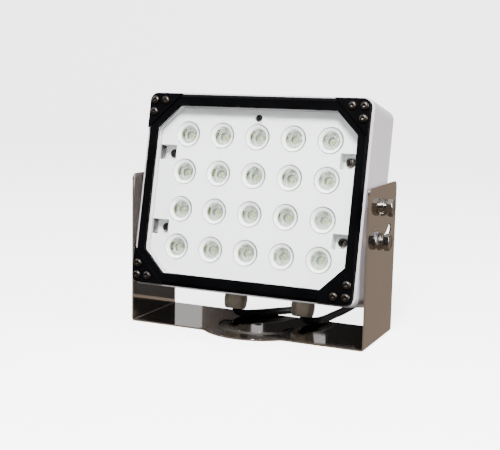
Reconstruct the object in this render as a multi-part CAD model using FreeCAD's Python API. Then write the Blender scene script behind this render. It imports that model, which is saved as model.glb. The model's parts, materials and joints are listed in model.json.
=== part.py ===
import FreeCAD, Part

import math
import os

from FreeCAD import Placement, Rotation, Vector

# Infrared illuminator: a box head with a square lens array behind glass, held
# between the arms of a U bracket. Millimetres, +Z up, +Y towards the back.
# The origin is the middle of the base's swivel hole, on the underside.
# Head pieces are drawn upright round the tilt axis, with "ahead" counted from
# that axis towards the lit side, and are then tilted and lifted together.

# Bracket, folded from stainless sheet
sheet = 1.5
side_gap = 4.3
bracket_ahead = 42.0
bracket_behind = 38.5
arm_above = 19.7
base_clear = 3.416
bend_radius = 2.5
arm_corner = 5.0
disc_radius = 52.5
swivel_hole = 6.5
swivel_slot_radius = 32.25
swivel_slot_width = 8.5
swivel_slot_half_angle = 92.0
disc_blend = 6.0

# Tilt
tilt_back = 5.0
rest_tilt = 11.66
lock_radius = 29.4
lock_half_angle = 45.0
bolt_hole = 8.6
lock_slot_width = 8.8

# Side bolts, M8
bolt_d = 8.0
bolt_length = 20.0
bolt_head_flats = 13.0
bolt_head_height = 5.3
flat_washer_d = 15.0
flat_washer_t = 1.6
spring_washer_d = 12.3
spring_washer_t = 2.1
spring_washer_gap = 1.4
washer_clear = 0.2
thread_clear = 0.1

# Housing
housing_width = 212.0
housing_height = 175.0
housing_corner = 8.75
housing_edge = 1.0
housing_ahead = 35.0
housing_behind = 25.0
wall = 5.5
pad_radius = 10.0
lock_pad_radius = 8.0
ledge_t = 3.8
lug_width = 11.0
lug_depth = 12.0
rear_boss_radius = 6.0
rear_boss_depth = 13.0

# Front frame, glass and its silicone channel
rim_x = 2.0
rim_z = 1.5
rim_corner = 1.75
frame_t = 3.5
frame_bevel = 2.7
border_x = 9.2
border_z = 10.5
opening_corner = 20.3
glass_t = 4.0
glass_margin = 4.0
rubber_t = 1.0
rubber_edge = 1.2
window_gap = 0.2
fit_gap = 0.2

# Corner plates and their button screws, M4
plate_leg = 32.0
plate_t = 1.5
corner_screw_inset_x = 5.3
corner_screw_inset_z = 6.5
corner_screw_pitch = 10.5
m4_d = 4.0
m4_hole = 4.4
m4_button_d = 7.6
m4_button_height = 2.2
m4_pan_d = 8.0
m4_pan_height = 2.6
m4_hex_key = 2.5
corner_screw_length = 12.0

# Lens array: columns, rows and how far the outer lenses stay inside the opening
columns = 5
rows = 4
lens_side_x = 26.8
lens_side_z = 24.5
lens_d = 22.6
lens_rim = 1.8
lens_foot_d = 10.4
lens_height = 11.2
lens_well_d = 9.0
lens_well_depth = 2.8
lens_cavity_d = 6.6
lens_cavity_depth = 4.0
chip_size = 3.5
chip_t = 1.0
chip_dome_d = 2.8
chip_dome_t = 1.0

# Lens panel, light board and the plate that carries them
panel_gap = 0.4
panel_t = 2.0
panel_lower = 2.0
lens_proud = 0.8
pocket_width = 16.3
pocket_height = 13.4
pocket_wall = 1.6
pocket_floor = 1.6
pocket_screw_in = 6.4
panel_screw_length = 16.0
carrier_t = 3.0
board_t = 1.6
board_margin = 8.0
lens_hole_gap = 0.35
sensor_inset = 7.5
sensor_d = 6.5
sensor_length = 7.0
collar_d = 9.6
collar_t = 0.8

# Rear cover with cooling fins
cover_flange_t = 4.0
cover_step = 14.0
cover_taper = 6.0
cover_depth = 26.0
cover_wall = 3.5
cover_corner = 7.0
rear_gasket_t = 1.0
rear_screw_inset_x = 6.5
rear_screw_inset_z = 8.0
rear_screw_length = 12.0
fin_pitch = 9.6
fin_t = 2.6
fin_depth = 12.0
fin_margin = 5.0
fin_inset_z = 6.0
fin_slope = 6.0

# Driver and terminal block, on the rear cover's inside
driver_inset = 18.0
driver_height = 50.0
driver_depth = 18.0
driver_z = 16.0
driver_ear = 11.0
driver_ear_t = 3.0
m3_d = 3.0
m3_pan_d = 6.0
m3_pan_height = 2.0
m3_length = 6.0
terminal_width = 52.0
terminal_height = 14.0
terminal_depth = 14.0
terminal_z = -42.0
terminal_ways = 5

# Cable glands
gland_x = 34.0
gland_behind = 38.0
gland_flats = 19.0
gland_flange = 4.5
gland_nut = 5.0
gland_dome = 6.6
gland_dome_d = 16.0
gland_thread_d = 15.2
gland_nut_thread_d = 14.0
gland_room_d = 11.6
gland_seal_up = 1.0
gland_tail = 9.0
gland_mouth_d = 12.0
gland_throat_d = 7.8
locknut_t = 4.0

# Cables
cable_d = 7.0
cable_inside = 22.0
cable_start = 6.9
cable_clear = 0.1
cable_drop = 0.3
bend_runs = 3
coil_mid_radius = 37.0
coil_layers = 3

# Worked out from the values above: front frame, glass and lens panel
side = housing_width / 2
frame_width = housing_width - 2 * rim_x
frame_height = housing_height - 2 * rim_z
frame_corner = housing_corner - rim_corner
frame_front = housing_ahead + frame_t
plate_front = frame_front + plate_t
opening_width = frame_width - 2 * border_x
opening_height = frame_height - 2 * border_z
opening_cut = opening_width / 2 + opening_height / 2 - opening_corner
ledge_width = opening_width + 2 * window_gap
ledge_height = opening_height + 2 * window_gap
ledge_cut = opening_cut + 2 * window_gap
glass_width = opening_width + 2 * glass_margin
glass_height = opening_height + 2 * glass_margin
glass_cut = opening_cut + 2 * glass_margin
pocket_gap = rubber_edge + fit_gap
seat_ahead = housing_ahead - glass_t - 2 * rubber_t
glass_back = seat_ahead + rubber_t
glass_front = glass_back + glass_t
panel_width = ledge_width - 2 * panel_gap
panel_height = ledge_height - 2 * panel_gap
panel_cut = ledge_cut - panel_gap * math.sqrt(2)
panel_front = seat_ahead - panel_lower
lens_front = panel_front + lens_proud
board_front = lens_front - lens_height
carrier_front = board_front - board_t
carrier_back = carrier_front - carrier_t
column_pitch = (opening_width - 2 * lens_side_x) / (columns - 1)
row_pitch = (opening_height - 2 * lens_side_z) / (rows - 1)
pocket_z = (rows / 2 - 1) * row_pitch
panel_screw_x = panel_width / 2 - pocket_width + pocket_screw_in
sensor_z = panel_height / 2 - sensor_inset

# Worked out: rear cover and glands
cover_width = frame_width - 2 * cover_step
cover_back_width = cover_width - 2 * cover_taper
cover_ahead = -housing_behind - rear_gasket_t
cover_back = cover_ahead - cover_depth
rear_screw_x = frame_width / 2 - rear_screw_inset_x
rear_screw_z = frame_height / 2 - rear_screw_inset_z
fin_count = int((cover_back_width - 2 * fin_margin - fin_t) / fin_pitch) + 1
fin_height = frame_height - 2 * fin_inset_z
driver_width = cover_back_width - 2 * driver_inset
gland_wall = -frame_height / 2
gland_end = gland_wall - gland_flange - gland_nut - gland_dome

# Worked out: bracket, high enough for the glands to swing over its base
arm_inside = side + side_gap
bracket_width = 2 * (arm_inside + sheet)
bracket_depth = bracket_ahead + bracket_behind
base_front = tilt_back - bracket_ahead
tilt_height = sheet + base_clear + math.hypot(gland_end, gland_behind + gland_dome_d / 2)
bracket_height = tilt_height + arm_above
cable_level = sheet + cable_d / 2 + cable_clear
floor_level = cable_d / 2 + cable_clear


def save(name, shape):
    """Write one named piece."""
    shape.exportStep("parts/" + name + ".step")


def fuse(solids):
    """Join overlapping or touching solids into one."""
    return solids[0].multiFuse(solids[1:]).removeSplitter()


def group(solids):
    """Keep like pieces as separate solids of one node."""
    return Part.makeCompound(solids)


def head(shape):
    """Tilt an upright head piece and lift it to the tilt axis."""
    placed = shape.copy()
    turn = Rotation(Vector(1, 0, 0), -rest_tilt)
    move = Placement(Vector(0, tilt_back, tilt_height), turn)
    placed.Placement = move.multiply(placed.Placement)
    return placed


def head_point(x, y, z):
    """The same move for one point of the head."""
    turn = Rotation(Vector(1, 0, 0), -rest_tilt)
    return turn.multVec(Vector(x, y, z)) + Vector(0, tilt_back, tilt_height)


def prism(points, direction):
    """A solid from a flat polygon."""
    closed = points + [points[0]]
    return Part.Face(Part.makePolygon(closed)).extrude(direction)


def slab(outline, low, high):
    """An outline of x and z, given a thickness between two distances ahead."""
    face = Part.Face(outline)
    face.translate(Vector(0, -high, 0))
    return face.extrude(Vector(0, high - low, 0))


def rounded(width, height, radius):
    """A rectangle of x and z with round corners."""
    x = width / 2
    z = height / 2
    corners = [(x, z), (-x, z), (-x, -z), (x, -z)]
    edges = []
    for k in range(4):
        cx, cz = corners[k]
        ax = cx - math.copysign(radius, cx)
        az = cz - math.copysign(radius, cz)
        start = 90.0 * k
        arc = Part.makeCircle(radius, Vector(ax, 0, az), Vector(0, -1, 0), start, start + 90)
        edges.append(arc)
        nx, nz = corners[(k + 1) % 4]
        bx = nx - math.copysign(radius, nx)
        bz = nz - math.copysign(radius, nz)
        out = [(0, radius), (-radius, 0), (0, -radius), (radius, 0)][k]
        a = Vector(ax + out[0], 0, az + out[1])
        b = Vector(bx + out[0], 0, bz + out[1])
        edges.append(Part.makeLine(a, b))
    return Part.Wire(Part.__sortEdges__(edges))


def octagon(width, height, cut):
    """A rectangle of x and z whose corners are cut where the two add up to cut."""
    x = width / 2
    z = height / 2
    quarter = [(x, cut - x), (cut - z, z)]
    points = list(quarter)
    points += [(-px, pz) for px, pz in reversed(quarter)]
    points += [(-px, -pz) for px, pz in quarter]
    points += [(px, -pz) for px, pz in reversed(quarter)]
    points.append(points[0])
    return Part.makePolygon([Vector(px, 0, pz) for px, pz in points])


def rod(x, z, diameter, low, high):
    """A round bar along the depth, between two distances ahead."""
    return Part.makeCylinder(diameter / 2, high - low, Vector(x, -low, z), Vector(0, -1, 0))


def hexagon(flats, height, base, direction, turn=0.0):
    """A hexagonal prism on a base point, along a direction."""
    reach = flats / math.sqrt(3)
    angles = [math.radians(60 * k + turn) for k in range(6)]
    points = [Vector(reach * math.cos(a), reach * math.sin(a), 0) for a in angles]
    solid = prism(points, Vector(0, 0, height))
    solid.Placement = Placement(base, Rotation(Vector(0, 0, 1), direction))
    return solid


def arc_slot(radius, width, half_angle, depth):
    """A curved slot in the plane of x and y, centred on the -y direction."""
    inner = radius - width / 2
    outer = radius + width / 2
    start = 270 - half_angle
    end = 270 + half_angle
    up = Vector(0, 0, 1)
    zero = Vector(0, 0, 0)

    def at(r, angle):
        a = math.radians(angle)
        return Vector(r * math.cos(a), r * math.sin(a), 0)

    edges = [
        Part.makeCircle(outer, zero, up, start, end),
        Part.makeCircle(width / 2, at(radius, end), up, end, end + 180),
        Part.makeCircle(inner, zero, up, start, end),
        Part.makeCircle(width / 2, at(radius, start), up, start + 180, start + 360),
    ]
    return Part.Face(Part.Wire(Part.__sortEdges__(edges))).extrude(Vector(0, 0, depth))


def ring_slab(outer, inner, low, high):
    """A flat ring between two outlines of x and z."""
    return slab(outer, low, high).cut(slab(inner, low - 1, high + 1))


def lens_places():
    """The middle of each lens, row by row from the top left."""
    places = []
    for row in range(rows):
        for column in range(columns):
            x = (column - (columns - 1) / 2) * column_pitch
            z = ((rows - 1) / 2 - row) * row_pitch
            places.append((row + 1, column + 1, x, z))
    return places


def four(x, z):
    """One place mirrored into the four corners."""
    return [(sx * x, sz * z) for sz in (1, -1) for sx in (-1, 1)]


def corner_screw_places():
    """Three screws at each corner of the frame."""
    x = frame_width / 2 - corner_screw_inset_x
    z = frame_height / 2 - corner_screw_inset_z
    places = []
    for px, pz in [(x, z), (x - corner_screw_pitch, z), (x, z - corner_screw_pitch)]:
        places += four(px, pz)
    return places


def rear_screw_places():
    """Three screws down each side of the rear cover."""
    return [(sx * rear_screw_x, k * rear_screw_z) for sx in (-1, 1) for k in (-1, 0, 1)]


def bend_sheet():
    """The folded sheet, seen from the front as a U."""
    x = bracket_width / 2
    r = bend_radius
    h = bracket_height
    i = r - sheet
    s = math.sqrt(0.5)

    def v(px, pz):
        return Vector(px, 0, pz)

    points = [
        ("line", v(-x, h), v(-x, r)),
        ("arc", v(-x, r), v(-x + r - r * s, r - r * s), v(-x + r, 0)),
        ("line", v(-x + r, 0), v(x - r, 0)),
        ("arc", v(x - r, 0), v(x - r + r * s, r - r * s), v(x, r)),
        ("line", v(x, r), v(x, h)),
        ("line", v(x, h), v(x - sheet, h)),
        ("line", v(x - sheet, h), v(x - sheet, r)),
        ("arc", v(x - sheet, r), v(x - r + i * s, r - i * s), v(x - r, sheet)),
        ("line", v(x - r, sheet), v(-x + r, sheet)),
        ("arc", v(-x + r, sheet), v(-x + r - i * s, r - i * s), v(-x + sheet, r)),
        ("line", v(-x + sheet, r), v(-x + sheet, h)),
        ("line", v(-x + sheet, h), v(-x, h)),
    ]
    edges = []
    for item in points:
        if item[0] == "line":
            edges.append(Part.makeLine(item[1], item[2]))
        else:
            edges.append(Part.Arc(item[1], item[2], item[3]).toShape())
    face = Part.Face(Part.Wire(edges))
    face.translate(Vector(0, base_front, 0))
    return face.extrude(Vector(0, bracket_depth, 0))


def arm_outline():
    """The side view of an arm, with its round top corners, as a tool."""
    block = Part.makeBox(
        bracket_width + 2,
        bracket_depth,
        bracket_height + 2,
        Vector(-bracket_width / 2 - 1, base_front, -2),
    )
    top = [e for e in block.Edges if _is_top_side_edge(e)]
    return block.makeFillet(arm_corner, top)


def _is_top_side_edge(edge):
    """The two long edges at the top of the block."""
    box = edge.BoundBox
    return box.XLength > bracket_width and box.ZMin > bracket_height - 1


def add_disc(body):
    """Bulge the base's front edge into a disc, with a hollow blend each side."""
    reach = 2 * disc_radius
    ahead = Part.makeBox(reach, reach, sheet, Vector(-disc_radius, base_front - reach + 1, 0))
    body = fuse([body, Part.makeCylinder(disc_radius, sheet).common(ahead)])
    corners = [e for e in body.Edges if _is_disc_corner(e)]
    return body.makeFillet(disc_blend, corners)


def _is_disc_corner(edge):
    """The short upright edges where the disc leaves the straight edge."""
    box = edge.BoundBox
    short = box.XLength < 0.01 and box.YLength < 0.01 and box.ZLength > sheet / 2
    return short and abs(box.YMin - base_front) < 0.01 and abs(box.XMin) < disc_radius


def bracket():
    """U bracket with its base disc, swivel hole, curved slots and arm holes."""
    body = add_disc(bend_sheet().common(arm_outline()))
    body = body.cut(Part.makeCylinder(swivel_hole / 2, 3 * sheet, Vector(0, 0, -sheet)))
    slot = arc_slot(swivel_slot_radius, swivel_slot_width, swivel_slot_half_angle, 3 * sheet)
    slot.translate(Vector(0, 0, -sheet))
    body = body.cut(slot)
    through = bracket_width + 4
    start = Vector(-through / 2, tilt_back, tilt_height)
    body = body.cut(Part.makeCylinder(bolt_hole / 2, through, start, Vector(1, 0, 0)))
    lock = arc_slot(lock_radius, lock_slot_width, lock_half_angle, through)
    lock.rotate(Vector(0, 0, 0), Vector(0, 0, 1), 90)
    lock.rotate(Vector(0, 0, 0), Vector(0, 1, 0), 90)
    lock.translate(start)
    return body.cut(lock)


def housing():
    """Cast shell, open front and back, with a seat for the glass."""
    body = slab(rounded(housing_width, housing_height, housing_corner), -housing_behind, housing_ahead)
    rims = [e for e in body.Edges if e.BoundBox.YLength < 0.01]
    body = body.makeFillet(housing_edge, rims)
    inner_corner = housing_corner - wall / 2
    cavity = rounded(housing_width - 2 * wall, housing_height - 2 * wall, inner_corner)
    body = body.cut(slab(cavity, -housing_behind - 1, seat_ahead - ledge_t))
    body = body.cut(slab(octagon(ledge_width, ledge_height, ledge_cut), seat_ahead - ledge_t - 1, seat_ahead + 1))
    body = body.cut(slab(glass_pocket(pocket_gap), seat_ahead, housing_ahead + 1))
    adds = side_pads() + panel_lugs() + rear_bosses()
    body = fuse([body] + adds)
    return body.cut(group(housing_holes()))


def glass_pocket(gap):
    """The glass outline, grown by a gap all round."""
    grown = gap * math.sqrt(2)
    return octagon(glass_width + 2 * gap, glass_height + 2 * gap, glass_cut + grown)


def bolt_places():
    """The tilt bolt and the lock bolt below it."""
    return [(0.0, pad_radius), (-lock_radius, lock_pad_radius)]


def side_pads():
    """Round pads that fill the gap to the arms, with a boss behind each."""
    pads = []
    inner = bolt_tip() - 2
    for z, radius in bolt_places():
        for way in (-1, 1):
            start = Vector(way * inner, 0, z)
            pad = Part.makeCylinder(radius, arm_inside - inner, start, Vector(way, 0, 0))
            pads.append(pad)
    return pads


def bolt_tip():
    """How far from the middle the side bolts end."""
    under_head = bracket_width / 2 + flat_washer_t + spring_washer_t
    return under_head - bolt_length


def panel_lugs():
    """Lugs on the side walls that the lens panel is screwed to."""
    lugs = []
    reach = panel_screw_x - lug_width / 2
    for x, z in four(reach, pocket_z):
        length = side - wall / 2 - reach
        left = x if x > 0 else x - length
        corner = Vector(left, -carrier_back, z - lug_width / 2)
        lugs.append(Part.makeBox(length, lug_depth, lug_width, corner))
    return lugs


def rear_bosses():
    """Short bosses for the rear cover's screws."""
    low = -housing_behind
    return [rod(x, z, 2 * rear_boss_radius, low, low + rear_boss_depth) for x, z in rear_screw_places()]


def housing_holes():
    """Tapped holes for every screw and bolt that ends in the housing."""
    tapped = m4_d + 2 * thread_clear
    holes = []
    for x, z in corner_screw_places():
        holes.append(rod(x, z, tapped, plate_front - corner_screw_length - 1, housing_ahead + 1))
    for x, z in four(panel_screw_x, pocket_z):
        tip = carrier_front + pocket_floor - panel_screw_length
        holes.append(rod(x, z, tapped, tip - 1, carrier_back + 1))
    for x, z in rear_screw_places():
        low = -housing_behind
        holes.append(rod(x, z, tapped, low - 1, low + rear_screw_length - cover_flange_t))
    for z, _ in bolt_places():
        for way in (-1, 1):
            start = Vector(way * (bolt_tip() - 1), 0, z)
            radius = bolt_d / 2 + thread_clear
            holes.append(Part.makeCylinder(radius, side, start, Vector(way, 0, 0)))
    return holes


def front_frame():
    """Black frame that clamps the glass, bevelled round its outer edge."""
    body = slab(rounded(frame_width, frame_height, frame_corner), housing_ahead, frame_front)
    rim = [e for e in body.Edges if abs(e.BoundBox.YMin + frame_front) < 0.01]
    flat = [e for e in rim if e.BoundBox.YLength < 0.01]
    body = body.makeChamfer(frame_bevel, flat)
    opening = slab(octagon(opening_width, opening_height, opening_cut), housing_ahead - 1, frame_front + 1)
    body = body.cut(opening)
    holes = [rod(x, z, m4_hole, housing_ahead - 1, frame_front + 1) for x, z in corner_screw_places()]
    return body.cut(group(holes))


def front_glass():
    """Toughened glass pane with cut corners."""
    return slab(octagon(glass_width, glass_height, glass_cut), glass_back, glass_front)


def glass_gasket():
    """Silicone channel round the edge of the glass, flush with the housing's front."""
    body = slab(glass_pocket(rubber_edge), seat_ahead, housing_ahead)
    body = body.cut(slab(octagon(glass_width, glass_height, glass_cut), glass_back, glass_front))
    window = octagon(ledge_width, ledge_height, ledge_cut)
    return body.cut(slab(window, seat_ahead - 1, housing_ahead + 1))


def corner_plate(way_x, way_z):
    """Three-cornered plate with one round corner and three screw holes."""
    whole = slab(rounded(frame_width, frame_height, frame_corner), frame_front, plate_front)
    x = frame_width / 2
    z = frame_height / 2
    points = [
        Vector(way_x * (x - plate_leg), -plate_front - 1, way_z * z),
        Vector(way_x * x, -plate_front - 1, way_z * z),
        Vector(way_x * x, -plate_front - 1, way_z * (z - plate_leg)),
    ]
    body = whole.common(prism(points, Vector(0, plate_t + 2, 0)))
    holes = [
        rod(px, pz, m4_hole, frame_front - 1, plate_front + 1)
        for px, pz in corner_screw_places()
        if px * way_x > 0 and pz * way_z > 0
    ]
    return body.cut(group(holes))


def button_screw(x, z, seat, length):
    """Button head screw with a hexagon socket, its head ahead of the seat."""
    r = m4_button_d / 2
    h = m4_button_height
    profile = Part.makePolygon([
        Vector(0, 0, 0),
        Vector(r, 0, 0),
        Vector(r * 0.93, 0, h * 0.45),
        Vector(r * 0.55, 0, h),
        Vector(0, 0, h),
        Vector(0, 0, 0),
    ])
    knob = Part.Face(profile).revolve(Vector(0, 0, 0), Vector(0, 0, 1), 360)
    knob.Placement = Placement(Vector(x, -seat, z), Rotation(Vector(0, 0, 1), Vector(0, -1, 0)))
    socket = hexagon(m4_hex_key, h, Vector(x, -seat - h * 0.4, z), Vector(0, -1, 0))
    return fuse([knob.cut(socket), rod(x, z, m4_d, seat - length, seat)])


def pan_screw(x, z, seat, length, diameter, head_d, head_height, ahead=True):
    """Plain pan head screw, its head ahead of the seat or behind it."""
    sign = 1 if ahead else -1
    low, high = sorted((seat, seat + sign * head_height))
    knob = rod(x, z, head_d, low, high)
    low, high = sorted((seat, seat - sign * length))
    return fuse([knob, rod(x, z, diameter, low, high)])


def lens_panel():
    """White tray with a hole for each lens and four pockets for its screws."""
    depth = panel_front - carrier_front
    body = slab(octagon(panel_width, panel_height, panel_cut), carrier_front, panel_front)
    w = panel_width - 2 * panel_t
    h = panel_height - 2 * panel_t
    inside = octagon(w, h, panel_cut - panel_t * math.sqrt(2))
    body = body.cut(slab(inside, carrier_front - 1, panel_front - panel_t))
    outer = [pocket_box(x, z, pocket_wall, 0, depth) for x, z in pocket_corners()]
    body = fuse([body] + outer)
    holes = [pocket_box(x, z, 0, pocket_floor, depth) for x, z in pocket_corners()]
    holes += [rod(x, z, m4_hole, carrier_front - 1, panel_front + 1) for x, z in four(panel_screw_x, pocket_z)]
    hole_d = lens_d + 2 * lens_hole_gap
    holes += [rod(x, z, hole_d, carrier_front - 1, panel_front + 1) for _, _, x, z in lens_places()]
    body = body.cut(group(holes))
    body = fuse([body, rod(0, sensor_z, collar_d, panel_front - panel_t, panel_front + collar_t)])
    return body.cut(rod(0, sensor_z, sensor_d + 2 * fit_gap, carrier_front, panel_front + 2))


def pocket_corners():
    """The middle of each pocket's closed end."""
    return four(panel_width / 2 - pocket_width, pocket_z)


def pocket_box(x, z, grow, floor, depth):
    """The room of a pocket, open at the panel's side edge."""
    length = pocket_width + grow
    start = x - grow if x > 0 else x + grow - length
    corner = Vector(start, -carrier_front - depth, z - pocket_height / 2 - grow)
    return Part.makeBox(length, depth - floor, pocket_height + 2 * grow, corner)


def carrier_plate():
    """Aluminium plate that spreads the heat to the housing's lugs."""
    body = slab(octagon(panel_width, panel_height, panel_cut), carrier_back, carrier_front)
    holes = [rod(x, z, m4_hole, carrier_back - 1, carrier_front + 1) for x, z in four(panel_screw_x, pocket_z)]
    return body.cut(group(holes))


def led_board():
    """Metal-core circuit board under the lenses."""
    w = (columns - 1) * column_pitch + 2 * board_margin
    h = (rows - 1) * row_pitch + 2 * board_margin
    return slab(rounded(w, h, board_margin / 3), carrier_front, board_front)


def led(x, z):
    """One infrared emitter: a square chip carrier with a small clear cap."""
    half = chip_size / 2
    base = Part.makeBox(chip_size, chip_t, chip_size, Vector(x - half, -board_front - chip_t, z - half))
    top = board_front + chip_t
    return fuse([base, rod(x, z, chip_dome_d, top - 0.1, top + chip_dome_t)])


def lens(x, z):
    """Clear cone lens: foot on the board, emitter cavity below, well on top."""
    foot = lens_foot_d / 2
    rim = lens_d / 2
    cavity = lens_cavity_d / 2
    well = lens_well_d / 2
    h = lens_height
    points = [
        (cavity, 0),
        (foot, 0),
        (rim, h - lens_rim),
        (rim, h),
        (well, h),
        (well * 0.8, h - lens_well_depth),
        (0, h - lens_well_depth),
        (0, lens_cavity_depth),
        (cavity, lens_cavity_depth),
    ]
    outline = [Vector(r, 0, up) for r, up in points]
    face = Part.Face(Part.makePolygon(outline + [outline[0]]))
    body = face.revolve(Vector(0, 0, 0), Vector(0, 0, 1), 360)
    body.Placement = Placement(Vector(x, -board_front, z), Rotation(Vector(0, 0, 1), Vector(0, -1, 0)))
    return body


def light_sensor():
    """Dusk sensor that looks out through its collar in the lens panel."""
    return rod(0, sensor_z, sensor_d, carrier_front, panel_front + collar_t - 0.2)


def rear_cover():
    """Cast back with a tapered box and upright cooling fins."""
    flange = slab(rounded(frame_width, frame_height, cover_corner), cover_ahead - cover_flange_t, cover_ahead)
    outer = tapered(cover_width, cover_back_width, frame_height, cover_ahead, cover_back, cover_corner)
    body = fuse([flange, outer] + fins())
    inner_w = cover_width - 2 * cover_wall
    inner_back = cover_back_width - 2 * cover_wall
    inner_h = frame_height - 2 * cover_wall
    inner = tapered(inner_w, inner_back, inner_h, cover_ahead + 1, cover_back + cover_wall, cover_corner / 2)
    body = body.cut(inner)
    holes = [rod(x, z, m4_hole, cover_back, cover_ahead + 1) for x, z in rear_screw_places()]
    tapped = m3_d + 2 * thread_clear
    holes += [rod(x, z, tapped, cover_back + 1, cover_back + cover_wall + 1) for x, z in driver_screw_places()]
    for way in (-1, 1):
        start = Vector(way * gland_x, gland_behind, gland_wall - 1)
        holes.append(Part.makeCylinder(gland_thread_d / 2 + fit_gap, cover_wall + 2, start))
    return body.cut(group(holes))


def tapered(front_width, back_width, height, ahead, behind, corner):
    """A block with round corners that narrows towards the back."""
    front = rounded(front_width, height, corner)
    back = rounded(back_width, height, corner)
    front.translate(Vector(0, -ahead, 0))
    back.translate(Vector(0, -behind, 0))
    return Part.makeLoft([front, back], True, True)


def fins():
    """Upright fins on the back, their ends sloped."""
    made = []
    root = -cover_back - 1
    tip = -cover_back + fin_depth
    half = fin_height / 2
    for k in range(fin_count):
        x = (k - (fin_count - 1) / 2) * fin_pitch - fin_t / 2
        points = [
            Vector(x, root, -half),
            Vector(x, tip, -half + fin_slope),
            Vector(x, tip, half - fin_slope),
            Vector(x, root, half),
        ]
        made.append(prism(points, Vector(fin_t, 0, 0)))
    return made


def rear_gasket():
    """Flat rubber ring between the housing and the rear cover."""
    outer = rounded(frame_width, frame_height, cover_corner)
    inner = rounded(cover_width - 2 * cover_wall, frame_height - 2 * cover_wall - 2, cover_corner / 2)
    body = ring_slab(outer, inner, cover_ahead, -housing_behind)
    holes = [rod(x, z, m4_hole, cover_ahead - 1, 1 - housing_behind) for x, z in rear_screw_places()]
    return body.cut(group(holes))


def driver_screw_places():
    """Two screws in each ear of the driver."""
    x = driver_width / 2 + driver_ear / 2
    z = driver_height / 4
    return [(sx * x, driver_z + sz * z) for sx in (-1, 1) for sz in (-1, 1)]


def driver():
    """Potted driver box with an ear at each end."""
    seat = cover_back + cover_wall
    box = rounded(driver_width, driver_height, 3)
    box.translate(Vector(0, 0, driver_z))
    ears = rounded(driver_width + 2 * driver_ear, driver_height * 0.8, 3)
    ears.translate(Vector(0, 0, driver_z))
    body = fuse([slab(box, seat, seat + driver_depth), slab(ears, seat, seat + driver_ear_t)])
    holes = [rod(x, z, m3_d + 0.4, seat - 1, seat + driver_ear_t + 1) for x, z in driver_screw_places()]
    return body.cut(group(holes))


def terminal_block():
    """Screw terminals where the cable wires end."""
    seat = cover_back + cover_wall
    corner = Vector(-terminal_width / 2, -seat - terminal_depth, terminal_z)
    body = Part.makeBox(terminal_width, terminal_depth, terminal_height, corner)
    ways = []
    for k in range(terminal_ways):
        x = (k - (terminal_ways - 1) / 2) * terminal_width / terminal_ways
        low = seat + terminal_depth / 2
        ways.append(rod(x, terminal_z + terminal_height * 0.6, 4.0, low, seat + terminal_depth + 1))
        inlet = Vector(x - 2, -seat - terminal_depth * 0.7, terminal_z - 1)
        ways.append(Part.makeBox(4, 4, 6, inlet))
    return body.cut(group(ways))


def side_bolt(way, z):
    """Hexagon bolt through the arm into the housing's side."""
    seat = bracket_width / 2 + flat_washer_t + spring_washer_t
    axis = Vector(way, 0, 0)
    start = Vector(way * seat, 0, z)
    bolt_head = hexagon(bolt_head_flats, bolt_head_height, start, axis, 12)
    shank = Part.makeCylinder(bolt_d / 2, bolt_length, Vector(way * bolt_tip(), 0, z), axis)
    return fuse([bolt_head, shank])


def washer(way, z, outer, inner, offset, thickness):
    """A ring on a side bolt, an offset out from the arm."""
    axis = Vector(way, 0, 0)
    start = Vector(way * (bracket_width / 2 + offset), 0, z)
    body = Part.makeCylinder(outer / 2, thickness, start, axis)
    return body.cut(Part.makeCylinder(inner / 2, thickness, start, axis))


def spring_washer(way, z):
    """A split ring under the bolt head."""
    body = washer(way, z, spring_washer_d, bolt_d + 2 * washer_clear, flat_washer_t, spring_washer_t)
    x = way * (bracket_width / 2 + flat_washer_t + spring_washer_t / 2)
    corner = Vector(x - spring_washer_t, -spring_washer_gap / 2, z)
    return body.cut(Part.makeBox(2 * spring_washer_t, spring_washer_gap, spring_washer_d, corner))


def gland_body(x):
    """Hexagon flange outside the cover, threads above and below it."""
    at = Vector(x, gland_behind, gland_wall - gland_flange)
    flange = hexagon(gland_flats, gland_flange, at, Vector(0, 0, 1), 20)
    upper = Part.makeCylinder(gland_thread_d / 2, gland_flange + gland_tail, at)
    low = Vector(x, gland_behind, gland_wall - gland_flange - gland_nut)
    lower = Part.makeCylinder(gland_nut_thread_d / 2, gland_nut + 1, low)
    body = fuse([flange, upper, lower])
    throat = Part.makeCylinder(gland_throat_d / 2, gland_nut + gland_flange + gland_tail, low)
    room = Part.makeCylinder(gland_room_d / 2, gland_nut + gland_seal_up, low)
    return body.cut(throat).cut(room)


def gland_nut_piece(x):
    """Cap nut with a domed end and a flared mouth for the cable."""
    top = Vector(x, gland_behind, gland_wall - gland_flange)
    down = Vector(0, 0, -1)
    nut = hexagon(gland_flats, gland_nut, top, down, 20)
    profile = Part.makePolygon([
        Vector(0, 0, 0),
        Vector(gland_flats / 2, 0, 0),
        Vector(gland_flats / 2, 0, -gland_dome * 0.35),
        Vector(gland_dome_d / 2, 0, -gland_dome),
        Vector(0, 0, -gland_dome),
        Vector(0, 0, 0),
    ])
    dome = Part.Face(profile).revolve(Vector(0, 0, 0), Vector(0, 0, 1), 360)
    dome.translate(Vector(x, gland_behind, gland_wall - gland_flange - gland_nut))
    body = fuse([nut, dome])
    bore = Part.makeCylinder(gland_nut_thread_d / 2 + thread_clear, gland_nut, top, down)
    start = Vector(x, gland_behind, gland_wall - gland_flange - gland_nut)
    throat = Part.makeCylinder(gland_throat_d / 2, gland_dome + 1, start, down)
    low = Vector(x, gland_behind, gland_end)
    flare = Part.makeCone(gland_mouth_d / 2, gland_throat_d / 2, 3, low, Vector(0, 0, 1))
    return body.cut(group([bore, throat])).cut(flare)


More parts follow.
